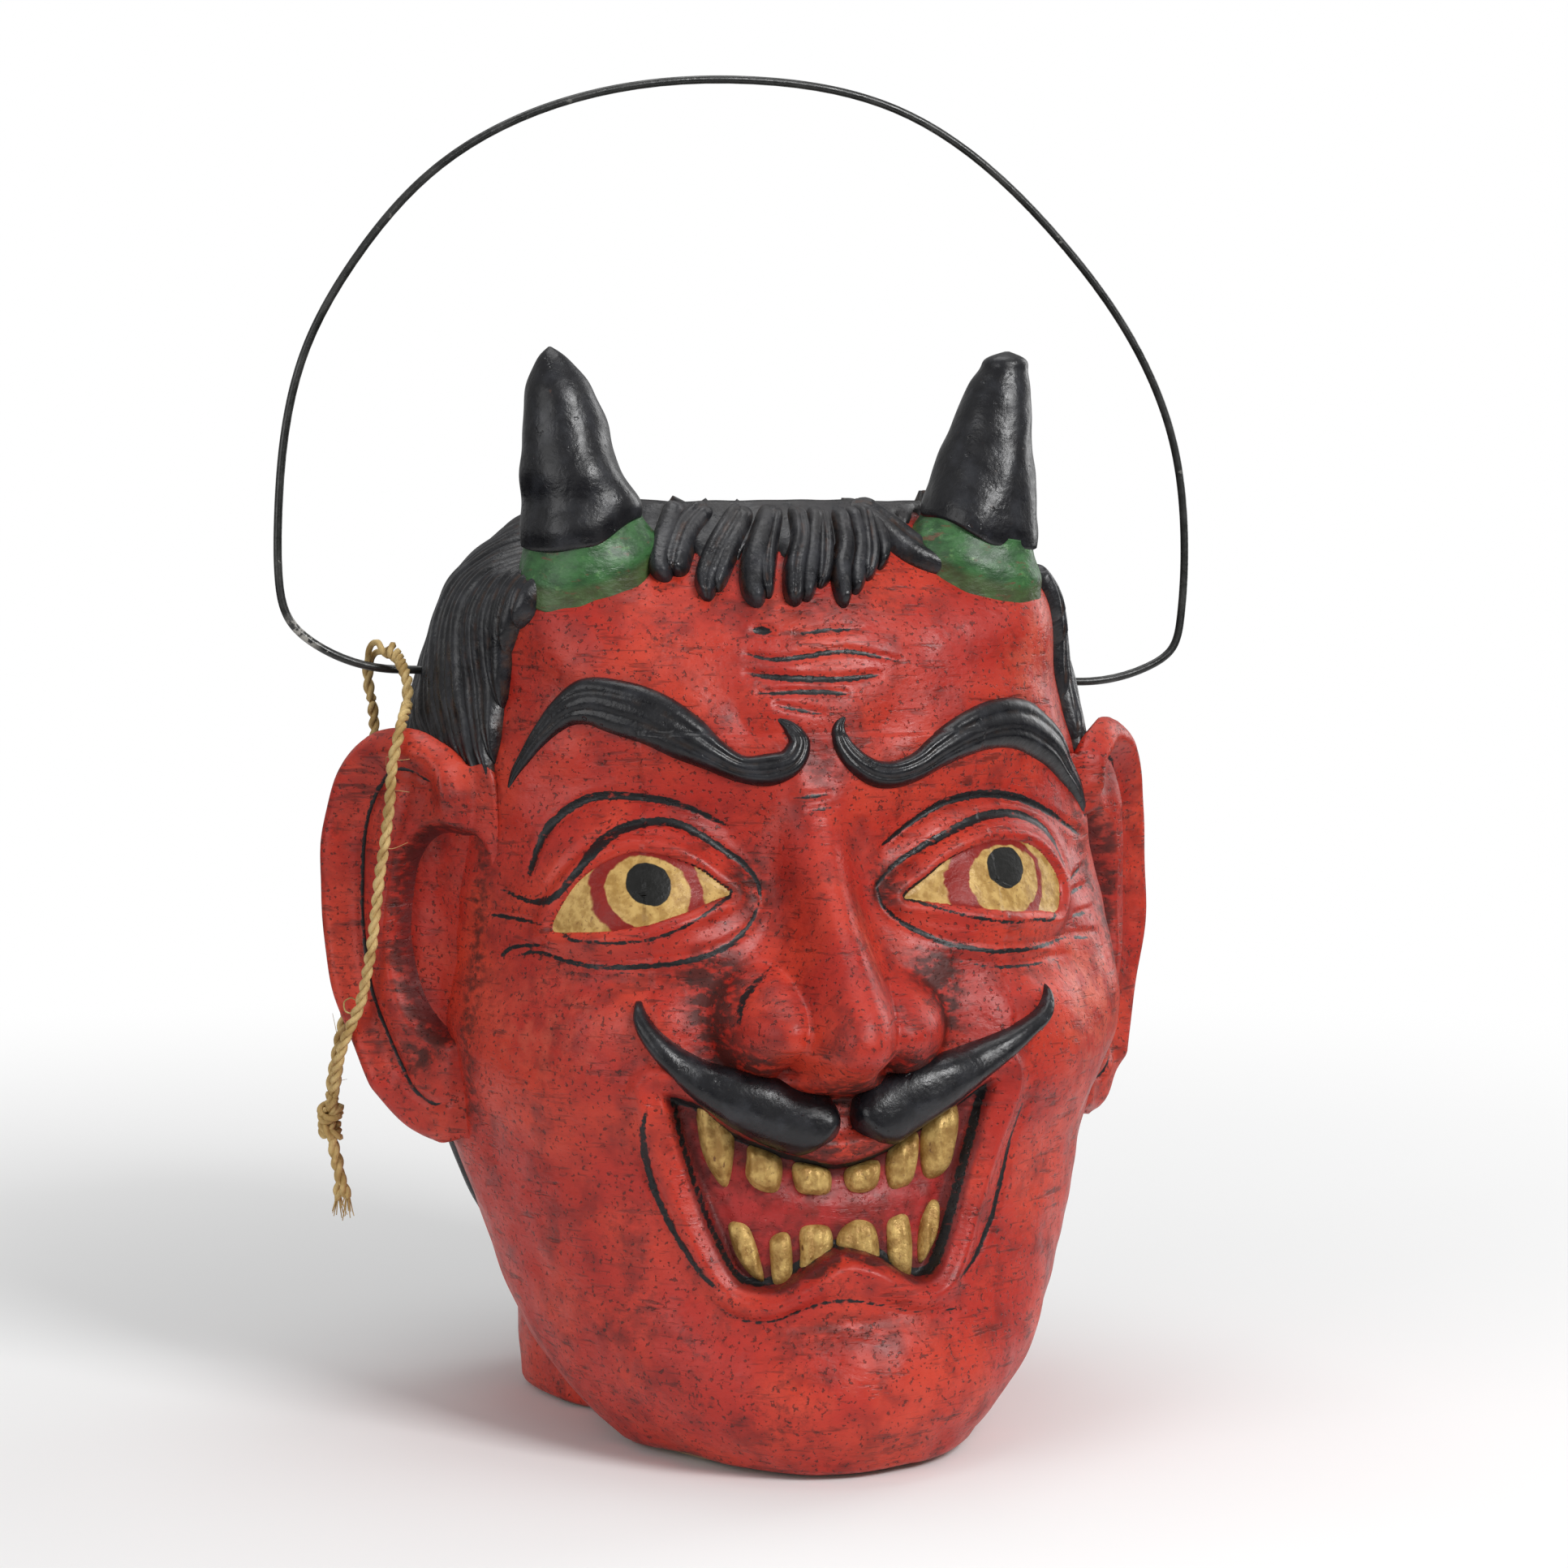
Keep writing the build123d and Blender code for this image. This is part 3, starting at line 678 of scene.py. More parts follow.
# ------------------------------------------------------------------ eyes and teeth
def eyes():
    for side in SIDE:
        outline = even_path(EYE_OPENING[side], 120, True)
        path = smooth_path(EYE_OPENING[side], 5, True)
        grown = outline.mean(0) + (outline - outline.mean(0)) * 1.035

        def front(ring, share):
            return 3.0 * smooth_step(inside_outline(ring[:, 0], ring[:, 1], path), 0, 1) - 0.45

        def back(ring, share):
            return np.full(len(ring), -2.0)

        form = Form()
        add_outline_piece(form, grown, face_place, front, back, 22)
        form.build(f"eye_{side}_painted", [MATERIAL["eye_" + side]], "head", ["eye_" + side])


TOOTH_HEIGHT = {"teeth_upper": 3.2, "teeth_lower": 2.2}


def teeth():
    for name, row, seed in (("teeth_upper", UPPER_TEETH, 11), ("teeth_lower", LOWER_TEETH, 12)):
        form = Form()
        for number, corners in enumerate(row):
            outline = even_path(corners, 56, True)

            def front(ring, share):
                crown = 1 - share ** 4
                return 0.4 + TOOTH_HEIGHT[name] * crown + 0.25 * np.sin(ring[:, 0] * 1.9 + number) * crown

            def back(ring, share):
                return np.full(len(ring), -0.8)

            add_outline_piece(form, outline, mouth_place, front, back, 12, tooth=float(number))
        form.build(name + "_gilded", [MATERIAL["gold"]], "head", [name])


# ------------------------------------------------------------------ raised strokes: brows, moustache, hair
def add_strip(form, path, height, place, grooves=2, groove_depth=0.4, bottom=-1.3, samples=(90, 17), lift=0.0,
              root_open=False, twist=0.0):
    """A raised tapering stroke with lengthwise grooves. path holds two coordinates and the half width."""
    along = even_path(path, samples[0])
    centre, half_width = along[:, :2], along[:, 2].clip(0.25, None)
    tip = np.clip((np.linspace(0, 1, samples[0]) - 0.86) / 0.14, 0, 1)
    half_width = half_width * np.sqrt(1 - 0.93 * tip ** 2)
    direction = np.gradient(centre, axis=0)
    direction /= np.linalg.norm(direction, axis=1, keepdims=True)
    across = np.column_stack([-direction[:, 1], direction[:, 0]])
    v = np.linspace(-1, 1, samples[1])[None, :]
    t = np.linspace(0, 1, samples[0])[:, None]
    where = centre[:, None] + across[:, None] * (v * half_width[:, None])[..., None]
    crown = (1 - np.abs(v) ** 2.6) ** 0.6
    size = np.minimum(half_width / half_width.max() * 1.6, 1.0)[:, None] ** 0.7
    ends = np.sqrt(1 - np.clip((t - 0.93) / 0.07, 0, 1) ** 2 * 0.98)
    if root_open:
        ends = ends * (0.25 + 0.75 * smooth_step(t, 0, 0.2))
    else:
        ends = ends * np.sqrt(1 - np.clip((0.05 - t) / 0.05, 0, 1) ** 2 * 0.98)
    comb = 0.5 - 0.5 * np.cos(2 * np.pi * (grooves * (v + 1) / 2 + twist * t))
    comb = comb if grooves else np.ones_like(comb)
    top = (height * crown * size + lift * crown) * ends - 0.35
    top = top - groove_depth * (1 - comb) ** 2 * crown * size * ends
    flat = np.full(top.shape, bottom)
    x, z = where[..., 0], where[..., 1]
    add_sheet(form, place(x, z, top), place(x, z, flat), crown=np.broadcast_to(comb * crown, top.shape),
              along=np.broadcast_to(t, top.shape))


def brows():
    for side in SIDE:
        form = Form()
        add_strip(form, BROW[side], 3.6, face_place, grooves=3, groove_depth=0.5, samples=(170, 25))
        form.build(f"brow_{side}_modelled", [MATERIAL["black"]], "head", ["brow_" + side])


def moustaches():
    for side in SIDE:
        form = Form()
        add_strip(form, MOUSTACHE[side], 7.2, lip_place, grooves=0, bottom=-2.5, samples=(120, 29))
        form.build(f"moustache_{side}_modelled", [MATERIAL["black"]], "head",
                   ["moustache_" + side])


HAIR_SCALE = 1.6       # mm of surface for each degree round the head


def side_place(s, z, h):
    return sculpted(np.radians(s / HAIR_SCALE), z, h)[0]


# root to tip of each lock of the fringe: X, Z, half width
FRINGE_LOCKS = [
    [(-9.1, 229.8, 2), (-12, 225, 2.6), (-17, 217.6, 2.4), (-21.6, 208.7, 1.6)],
    [(-2, 229.8, 2), (-5, 224.2, 2.6), (-7.6, 217.6, 2.6), (-9.2, 211.7, 2.4), (-9.3, 206.9, 1.6)],
    [(6.6, 229.8, 2), (6, 225.2, 2.6), (3.4, 217.6, 2.6), (1.2, 211.6, 2.6), (-0.5, 205.9, 2)],
    [(8, 229.8, 2), (7.6, 221.6, 2.6), (5.6, 214.1, 2.6), (3.4, 208.9, 1.6)],
    [(21, 229.8, 2), (22, 224.6, 2.6), (22.6, 218.5, 2.4), (20.6, 213.7, 1.3)],
    [(19, 229.8, 2.4), (19.4, 224.1, 2.6), (18.8, 217.5, 2.8), (16, 211, 2)],
    [(15.8, 229.8, 2), (16.8, 220.1, 2.6), (14, 212.5, 2.6), (12.2, 207.4, 1.8)],
    [(-18, 229.8, 2.4), (-25, 223.7, 3.2), (-28.6, 217.6, 3.4), (-30.6, 212.1, 3)],
    [(-25, 231, 2.6), (-29.4, 222.7, 3), (-32, 217, 3.2), (-33, 213.1, 3), (-32.6, 210.3, 2.4)],
    [(-10, 229.8, 2.6), (-16.4, 222, 3.2), (-20.6, 216.1, 3.2), (-23.3, 211.2, 2.9), (-24, 206.4, 2.1)],
    [(-3.4, 229.8, 2.6), (-8, 221.5, 3.2), (-11.5, 214.2, 3.5), (-12.5, 209.2, 3.3), (-12.2, 204.8, 2.5)],
    [(1.9, 229.8, 2.6), (1.3, 220.5, 3), (-1.8, 213.1, 3), (-3.6, 205, 2.6)],
    [(13, 229.8, 2.6), (12.5, 219.1, 3), (9.8, 212.6, 2.9), (8.8, 204.2, 2)],
    [(15, 229.8, 2), (19.3, 228.2, 3), (25.7, 222.9, 3.6), (32, 217.7, 3.5), (38.4, 213.5, 2.7), (42.6, 211, 1)],
]
# guides for the combed side hair, from the hairline backwards: degrees round the head and height
SIDE_GUIDES = [
    [(46, 209), (47.8, 204), (48.6, 200), (49.6, 196.5)],
    [(49, 211), (51.5, 204), (53, 197), (53.4, 189)],
    [(52, 213), (55.4, 205.4), (57, 197), (56.3, 186), (54.6, 176), (53.4, 168)],
    [(55, 216), (60, 207), (62, 197), (60.6, 187), (58.1, 176), (54.8, 165), (54, 159)],
    [(58, 221), (66, 209), (69, 199), (67.5, 188), (63.5, 176), (58.5, 164.5), (54.4, 156.2)],
    [(61, 229), (71, 214), (76.5, 202), (75.5, 191), (71, 181), (65, 170), (58, 159.5)],
    [(65, 229.8), (77, 217), (84, 204), (83.5, 193), (79, 183), (73, 174), (66.5, 168)],
    [(70, 229.8), (83, 218), (91, 204), (91.5, 192), (88, 182), (83, 174), (78, 168)],
    [(76, 229.8), (88, 219), (96, 204), (98, 190), (96, 178), (92, 167), (89, 158)],
]
SIDE_LOCKS = 12
LEFT_SHIFT = 9.0       # the left side's hairline lies this many degrees further back


def lock_between(guides, share, count=14):
    """A lock's path between the guides, share 0 being the hairline and 1 the hindmost guide."""
    place = share * (len(guides) - 1)
    low = min(int(place), len(guides) - 2)
    a, b = even_path(guides[low], count), even_path(guides[low + 1], count)
    return a + (b - a) * (place - low)


def fringe():
    form = Form()
    x, z = np.meshgrid(np.linspace(-38, 42, 66), np.linspace(208, 229.9, 26))
    low_edge = 215.5 + 1.6 * np.sin(x * 0.9) + 0.06 * np.abs(x) + 8 * smooth_step(x, 18, 34)
    cover = smooth_step(z, low_edge, low_edge + 2) * smooth_step(40 - np.abs(x - 2), 0, 3)
    add_sheet(form, face_place(x, z, 2.6 * cover - 1.2), face_place(x, z, np.full(x.shape, -2.2)), crown=0.4 * cover,
              along=np.zeros(x.shape))
    for number, lock in enumerate(FRINGE_LOCKS):
        add_strip(form, lock, 3.2 + 0.25 * (number % 3), face_place, grooves=1 + number % 2, groove_depth=0.6,
                  lift=0.5 + 0.05 * number, root_open=True, samples=(60, 21))
    form.build("hair_fringe_modelled", [MATERIAL["hair"]], "head", ["hair_fringe"])


def side_hair():
    for side, sign in SIDE.items():
        rng = np.random.default_rng(20 + sign)
        shift = LEFT_SHIFT if side == "left" else 0.0
        form = Form()
        s, z = np.meshgrid(np.linspace(43, 102, 54), np.linspace(150, 229.9, 66))
        hairline = np.interp(z, [150, 157, 163, 175, 188, 200, 209, 220, 230], [70, 57, 53.5, 54.5, 54, 50, 48, 52, 56])
        earline = np.interp(s, [50, 58, 66, 74, 82, 102], [156, 160, 169, 178, 172, 155])
        cover = smooth_step(s - hairline - shift, 0.3, 2.2) * smooth_step(z, earline, earline + 3)
        base = side_place(sign * s * HAIR_SCALE, z, 2.7 * cover - 1.4)
        add_sheet(form, base, side_place(sign * s * HAIR_SCALE, z, np.full(z.shape, -2.4)), crown=0.3 * cover,
                  along=np.zeros(z.shape))
        order = np.argsort(-np.abs(np.linspace(0, 1, SIDE_LOCKS) - 0.35))
        for number in order:
            share = number / (SIDE_LOCKS - 1)
            path = lock_between(SIDE_GUIDES, share)
            path[:, 0] = sign * HAIR_SCALE * (path[:, 0] + shift * (1 - 0.6 * share))
            path[:, 0] += rng.normal(0, 0.25)
            t = np.linspace(0, 1, len(path))
            wide = 4.0 + 1.8 * share + rng.uniform(-0.4, 0.4)
            half_width = wide * (0.75 + 0.35 * np.sin(np.pi * t ** 0.8)) * np.minimum((1.02 - t) / 0.3, 1) ** 0.6
            add_strip(form, np.column_stack([path, half_width]), 3.4 + rng.uniform(-0.3, 0.5), side_place,
                      grooves=2, groove_depth=0.8, lift=0.6 + rng.uniform(0, 0.5), root_open=True,
                      samples=(80, 21), twist=0.6 if side == "left" else 0.2)
        form.build(f"hair_side_{side}_modelled", [MATERIAL["hair"]], "head", ["hair_side_" + side])


BACK_LOCKS = 19


def back_place(s, z, height):
    """As side_place, with the hair fuller low down behind the jaw."""
    fuller = 5.0 * np.exp(-((z - 54) / 21) ** 2) * smooth_step(np.abs(s / HAIR_SCALE - 180), 62, 84)
    return side_place(s, z, height + fuller * smooth_step(height, -1.0, 1.0))


def back_hair():
    """Long combed locks from the rim down to the nape, in two overlapping layers."""
    form = Form()
    s, z = np.meshgrid(np.linspace(80, 280, 140), np.linspace(22, 229.9, 110))
    nape = 33 + 4 * np.sin(s * 0.35)
    cover = smooth_step(z, nape, nape + 5) * smooth_step(96 - np.abs(s - 180), 0, 4)
    add_sheet(form, back_place(s * HAIR_SCALE, z, 2.8 * cover - 1.5),
              back_place(s * HAIR_SCALE, z, np.full(z.shape, -2.6)), crown=0.3 * cover, along=np.zeros(z.shape))
    rng = np.random.default_rng(33)
    for layer, (bottom, top, raised) in enumerate([(28, 150, 1.4), (70, 229.8, 1.2), (128, 229.8, 1.7)]):
        for number in range(BACK_LOCKS):
            middle = 87 + (number + 0.5 * layer) * 186 / (BACK_LOCKS - 0.5)
            low = bottom + rng.uniform(-6, 8)
            t = np.linspace(0, 1, 12)
            sway = 2.2 * np.sin(t * rng.uniform(4.5, 6.5) + rng.uniform(0, 6)) + rng.uniform(-1, 1) * t * 3
            height = top + (low - top) * t
            widest = np.interp(height, [25, 60, 150, 200, 230], [4.8, 6.8, 8.4, 6.6, 4.8])
            half_width = widest * np.minimum((1.02 - t) / 0.25, 1) ** 0.6 * np.minimum((t + 0.05) / 0.1, 1)
            path = np.column_stack([(middle + sway) * HAIR_SCALE, height, half_width])
            add_strip(form, path, 3.0, back_place, grooves=3, groove_depth=0.7, lift=raised, root_open=layer > 0,
                      samples=(64, 19), twist=0.3)
    form.build("hair_back_modelled", [MATERIAL["hair"]], "head", ["hair_back"])


# ------------------------------------------------------------------ ears
EAR_ROOT = np.array([80.0, -28.0])     # where the ear's plane leaves the head (X, Y)
EAR_ANGLE = {"right": 48.6, "left": 53.6}      # the ear's plane, in degrees back from +X or -X
# the ear's outline in its own plane: distance from the root, and height
EAR_OUTLINE = [(-9, 158), (0, 166), (8, 171.5), (18, 174.5), (30, 172.5), (39, 164), (44.5, 149), (45.5, 130),
               (43, 112), (37, 97), (30, 84), (21, 75.5), (11, 71.5), (2, 73), (-9, 82)]
EAR_RIM = EAR_OUTLINE[1:-1]
HELIX = [(3, 158), (7, 166), (17, 169.5), (29, 167.5), (36, 160.5), (40.2, 148), (41, 130), (38.5, 112), (33, 98),
         (26, 86)]
SCAPHA = [(11, 160), (20, 162), (28, 159), (32, 148), (33, 131), (31, 114), (26, 100), (19, 89)]
EAR_LINE = [(10, 161.5), (18, 164.5), (25.5, 161), (30.5, 150), (32.4, 134), (31.4, 118), (27, 103), (20, 90.5),
            (10, 81.5), (1, 83)]
ANTIHELIX = [(24, 150), (26.5, 140), (27, 126), (24.5, 110), (19, 98), (12, 93)]
CONCHA = [(-6, 146), (4, 151), (14, 149.5), (20.5, 140), (22.5, 126), (21, 112), (16, 102), (8, 96.5), (-4, 99),
          (-8, 114), (-8, 130)]


def ear_relief(a, z):
    """The modelled front of an ear above its middle sheet."""
    def ridge(path, width):
        line = smooth_path(path, 5)
        return np.exp(-(inside_stroke(a, z, line, np.zeros(len(line)), 12) / width) ** 2)

    line = smooth_path(EAR_LINE, 5)
    stroke = inside_stroke(a, z, line, tapered(0.8, len(line)), 4)
    bowl = inside_outline(a, z, smooth_path(CONCHA, 5, True), 8)
    height = 2.8 + 2.6 * ridge(HELIX, 3.6) - 1.2 * ridge(SCAPHA, 4.2) + 1.2 * ridge(ANTIHELIX, 5.5)
    height -= 0.9 * smooth_step(stroke, -1.4, 0.6)
    height -= 7.5 * smooth_step(bowl, -1.0, 4.0)
    height += swell(a, z, (12, 84), (10, 8), 1.4) - swell(a, z, (13, 93.5), (5, 3.5), 2.0)
    height -= 3.0 * smooth_step(4 - a, 0, 7)
    return height, stroke, bowl


def ears():
    outline = even_path(EAR_OUTLINE, 260, True)
    rim = smooth_path(EAR_RIM, 5)
    centre = np.array([14.0, 124.0])
    shares = np.concatenate([np.linspace(0.02, 1, 64), np.linspace(1, 0.05, 14)])
    for side, sign in SIDE.items():
        angle = math.radians(EAR_ANGLE[side])
        direction = (math.cos(angle), math.sin(angle))
        facing = (direction[1], -direction[0])
        rings, dirt, ink, mouth = [], [], [], []
        for number, share in enumerate(shares):
            flat = centre + (outline - centre) * share
            a, z = flat[:, 0], flat[:, 1]
            from_edge = -inside_stroke(a, z, rim, np.zeros(len(rim)), 6)
            rounded = np.sqrt(1 - (1 - np.clip(from_edge / 3.2, 0, 1)) ** 2)
            front = number < 64
            relief, stroke, bowl = ear_relief(a, z)
            height = rounded * (relief if front else -3.4)
            height = height + waves(np.stack([a, z, a * sign], -1), 22, 0.3, 8 + sign)
            x = EAR_ROOT[0] + direction[0] * a + facing[0] * height
            y = EAR_ROOT[1] + direction[1] * a + facing[1] * height
            rings.append(np.stack([sign * x, y, z], -1))
            show = float(front)
            ink.append(show * np.clip(stroke + 3, 0, None))
            # antiquing and painted shade in the groove inside the rim, in the bowl and in the small pit below it
            hollow = 0.3 * np.exp(-((from_edge - 8) / 2.6) ** 2) + 0.7 * smooth_step(bowl, -2, 2)
            dirt.append(show * (hollow + 0.6 * swell(a, z, (13, 93), (7, 5), 1)) + 0.12)
            # the mouth value also darkens the bowl, as painted shade
            mouth.append(show * np.clip(bowl * 0.6 + 3, 0, 5) * (bowl > -4))
        form = Form()
        # the ear gets a little of the salmon highlight tone all over
        add_rings(form, rings, dirt=np.array(dirt), ink=np.array(ink), mouth=np.array(mouth),
                  pale=np.full((len(shares), len(outline)), 0.25))
        form.build(f"ear_{side}_modelled", [MATERIAL["red"]], "head", ["ear_" + side])


# ------------------------------------------------------------------ horns and their collars
HORN_AXIS = np.array([(49.5, -30, 186), (50, -30, 198), (50.3, -30.4, 210), (50.8, -31, 223), (53.4, -31.5, 238),
                      (56.4, -31.3, 254), (58.8, -31, 268.6)])
HORN_RADII = {   # share of the way from the collar to the tip, radius
    "right": np.array([(0, 15.0), (.1, 15.3), (.22, 13.8), (.34, 13.2), (.46, 11.8), (.58, 11.0), (.7, 9.0),
                       (.82, 7.0), (.91, 4.6), (.97, 2.2), (1, 0.3)]),
    "left": np.array([(0, 14.8), (.1, 14.7), (.22, 13.6), (.34, 12.4), (.46, 11.3), (.58, 10.1), (.7, 8.7),
                      (.82, 7.2), (.91, 5.8), (.97, 4.2), (1, 0.6)]),
}
# the collar's foot, just under the skin: degrees round the axis (0 is away from the head's middle) and height
COLLAR_FOOT = [(-180, 220), (-120, 207), (-60, 202.5), (0, 207.5), (60, 215.5), (120, 224), (180, 220)]


def tube_rings(path, radii, around_count, shape=None):
    """Rings of points round a path. shape, if given, changes each ring's radius by share and angle."""
    path = np.asarray(path, float)
    tangent = np.gradient(path, axis=0)
    tangent /= np.linalg.norm(tangent, axis=1, keepdims=True)
    side = np.cross(tangent[0], [0, 1, 0.3])
    side /= np.linalg.norm(side)
    phi = np.linspace(0, 2 * np.pi, around_count, endpoint=False)
    rings = []
    for number, (centre, direction, radius) in enumerate(zip(path, tangent, radii)):
        side = side - direction * (side @ direction)
        side /= np.linalg.norm(side)
        other = np.cross(direction, side)
        reach = np.full(around_count, radius)
        if shape is not None:
            reach = reach * shape(number / (len(path) - 1), phi)
        rings.append(centre + reach[:, None] * (np.cos(phi)[:, None] * side + np.sin(phi)[:, None] * other))
    return np.array(rings)


def collar_border(phi):
    """Height of the line between collar and horn round the axis; phi 0 points away from the head's middle."""
    return 219.4 + 8.2 * smooth_step(-np.cos(phi), -0.1, 1.0) + 0.6 * np.sin(3 * phi + 0.5)


def level_rings(sign, z, radius, phi):
    """Level rings round a horn's axis, mirrored by sign. z and radius are grids of ring by angle."""
    x = natural_curve(HORN_AXIS[:, 2], HORN_AXIS[:, 0], z) + radius * np.cos(phi)
    y = natural_curve(HORN_AXIS[:, 2], HORN_AXIS[:, 1], z) + radius * np.sin(phi)
    return np.stack([sign * x, y, z], -1)


def lumpy(rings, seed, *layers):
    """How much each point of the rings moves out, for the unevenness of hand-laid paper."""
    return sum(waves(rings, length, height, seed + number) for number, (length, height) in enumerate(layers))


def horns():
    phi = np.linspace(0, 2 * np.pi, 120, endpoint=False)
    share = np.concatenate([[0, 0], np.linspace(0, 1, 90) ** 0.9])[:, None]
    tuck = np.zeros(share.shape)
    tuck[:2, 0] = 4.0, 1.0
    border = collar_border(phi)[None]
    tip = HORN_AXIS[-1, 2]
    for side, sign in SIDE.items():
        z = border + share * (tip - border) - 0.5 * tuck
        table = HORN_RADII[side]
        radius = natural_curve(table[:, 0], table[:, 1], share).clip(0.25, None) - tuck
        radius = radius * (1 + 0.012 * np.sin(share * 19 + sign)) * np.ones(z.shape)
        bumps = lumpy(level_rings(sign, z, radius, phi), 40 + sign, (26, 0.45), (9, 0.08))
        radius = (radius + bumps * smooth_step(1 - share, 0, 0.2)).clip(0.2, None)
        form = Form()
        add_rings(form, level_rings(sign, z, radius, phi), crown=np.full(z.shape, 0.5), along=share + 0 * z)
        form.build(f"horn_{side}_modelled", [MATERIAL["horn"]], "head", ["horn_" + side])
        collar(side, sign, phi, border)


def collar(side, sign, phi, border):
    """The green band a horn grows out of: its foot is inside the head's skin, its top inside the horn."""
    share = np.linspace(0, 1, 44)[:, None]
    top = border + 2.0
    foot = np.interp(np.degrees((phi + np.pi) % (2 * np.pi) - np.pi), *np.transpose(COLLAR_FOOT))
    z = foot + share * (top - foot)
    below = ((top - z) / 30).clip(0, 1)
    inner = np.clip(-np.cos(phi), 0, 1)
    radius = 14.6 + 2.4 * smooth_step(below, 0.02, 0.35) - 1.5 * smooth_step(below, 0.55, 1.0)
    radius = radius + 2.6 * inner ** 2 * smooth_step(below, 0.04, 0.3) + 0 * z
    radius = radius + lumpy(level_rings(sign, z, radius, phi), 60 + sign, (20, 0.35), (7, 0.06))
    form = Form()
    add_rings(form, level_rings(sign, z, radius, phi), along=share + 0 * z, crown=np.full(z.shape, 0.5))
    form.build(f"horn_collar_{side}_modelled", [MATERIAL["green"]], "head", ["horn_collar_" + side])


# ------------------------------------------------------------------ twine
PLY_RADIUS = 0.78
PLY_OFFSET = 0.66
TWIST_LENGTH = 7.5
FRONT_STRAND = [(-90.5, -4, 180), (-92.2, -12.6, 179), (-94.9, -21, 174.6), (-97, -22, 166),
                (-98, -20, 152), (-99.8, -17.6, 138), (-101.6, -15.8, 121), (-104, -11.8, 106), (-108.2, -6, 93),
                (-109, 3.5, 80)]
BACK_STRAND = [(-97, 13, 180), (-95.8, 17, 168), (-97.5, 18.5, 148), (-100, 17.5, 124), (-104, 14, 102),
               (-107.5, 11.5, 88), (-109, 9.5, 80)]
OVER_WIRE = [(-97, 13, 180), (-98, 13.5, 186), (-97.5, 11, 191.5), (-95.6, 6.5, 194), (-92.5, 1.5, 192),
             (-90.3, -2.2, 186), (-90.5, -4, 180)]
KNOT = (-109.3, 7.0, 73.0)
TAILS = [[(-109.3, 6, 70), (-108.2, 5, 62), (-105.4, 6, 53)], [(-109.3, 8.4, 70), (-107.2, 8.5, 61), (-107.4, 9, 52)]]


def add_twine(form, path, opening=None, start_turn=0.0, plies=2):
    """A cord of twisted plies along the path. opening(share) widens the gap between the plies."""
    line = smooth_path(path, 14)
    length = np.concatenate([[0], np.cumsum(np.linalg.norm(np.diff(line, axis=0), axis=1))])
    count = max(int(length[-1] / 0.55), 12)
    at = np.linspace(0, length[-1], count)
    line = np.column_stack([np.interp(at, length, line[:, k]) for k in range(3)])
    share = at / length[-1]
    gap = np.ones(count) if opening is None else opening(share)
    turn = 2 * np.pi * at / TWIST_LENGTH / np.maximum(gap, 1) + start_turn
    guide = tube_rings(line, np.ones(count), 4)
    side, other = guide[:, 0] - line, guide[:, 1] - line
    for ply in range(plies):
        angle = turn + 2 * np.pi * ply / plies
        centre = line + PLY_OFFSET * gap[:, None] * (np.cos(angle)[:, None] * side + np.sin(angle)[:, None] * other)
        radii = np.full(count, PLY_RADIUS)
        radii[0] = radii[-1] = PLY_RADIUS * 0.55
        rings = tube_rings(centre, radii, 10, lambda t, phi: 1 + 0.09 * np.cos(5 * phi))
        add_rings(form, rings, along=share[:, None] + np.zeros((1, 10)), crown=0.5 + np.zeros((count, 10)))


def add_fibre(form, path, radius=0.16):
    line = smooth_path(path, 8)
    radii = radius * np.linspace(1, 0.45, len(line))
    add_rings(form, tube_rings(line, radii, 6), along=np.zeros((len(line), 6)), crown=np.ones((len(line), 6)))


def stray_fibres(form, path, count, seed, length=7.0):
    """Loose hairs that leave the cord along the path."""
    rng = np.random.default_rng(seed)
    line = smooth_path(path, 10)
    for _ in range(count):
        start = line[rng.integers(2, len(line) - 2)]
        way = rng.normal(size=3) * (1, 1, 0.6)
        way /= np.linalg.norm(way)
        bend = rng.normal(size=3) * 0.35
        reach = length * rng.uniform(0.35, 1)
        add_fibre(form, [start, start + way * reach * 0.5, start + (way + bend) * reach], 0.11)


def twine():
    form = Form()
    add_twine(form, OVER_WIRE, lambda t: 1 + 1.6 * np.exp(-((t - 0.5) / 0.16) ** 2))
    form.build("twine_turn_over_wire", [MATERIAL["twine"]], "twine_hitch", ["twine_hitch"])

    form = Form()
    for number, path in enumerate((FRONT_STRAND, BACK_STRAND)):
        add_twine(form, path, start_turn=number)
        stray_fibres(form, path, 6, 70 + number)
    small_loop = [(-103.6, -9.5, 105.5), (-105.4, -10, 103), (-107.4, -9, 103.2), (-107.6, -8, 105.4),
                  (-105.8, -8.2, 106.4), (-104, -8.8, 105.2)]
    add_fibre(form, small_loop, 0.3)
    strands = form.build("twine_strands_twisted", [MATERIAL["twine"]], None, ["twine_strands"])
    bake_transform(strands)

    form = Form()
    x, y, z = KNOT
    turn = np.linspace(0, 2 * np.pi * 1.6, 16)
    for tilt, radius, rise in ((0.5, 2.1, 0.9), (-0.7, 1.9, -1.2)):
        wrap = np.column_stack([x + radius * np.cos(turn), y + 1.25 * radius * np.sin(turn),
                                z + rise + 1.3 * np.sin(turn + tilt) + 0.25 * turn * np.sign(tilt)])
        add_twine(form, wrap, start_turn=tilt)
    for end in (FRONT_STRAND, BACK_STRAND):
        add_twine(form, [end[-1], (x, (end[-1][1] + y) / 2, z + 3.5), (x, y, z)])
    rng = np.random.default_rng(80)
    for tail in TAILS:
        add_twine(form, [(x, y, z)] + tail)
        tip = np.array(tail[-1])
        for _ in range(7):
            spread = rng.normal(size=3) * (1.6, 1.6, 0.8)
            add_fibre(form, [tip + (0, 0, 3), tip + spread * 0.5 + (0, 0, -1), tip + spread + (0, 0, -4.2)], 0.24)
    form.build("twine_knot_tied", [MATERIAL["twine"]], "twine_loop", ["twine_knot"])


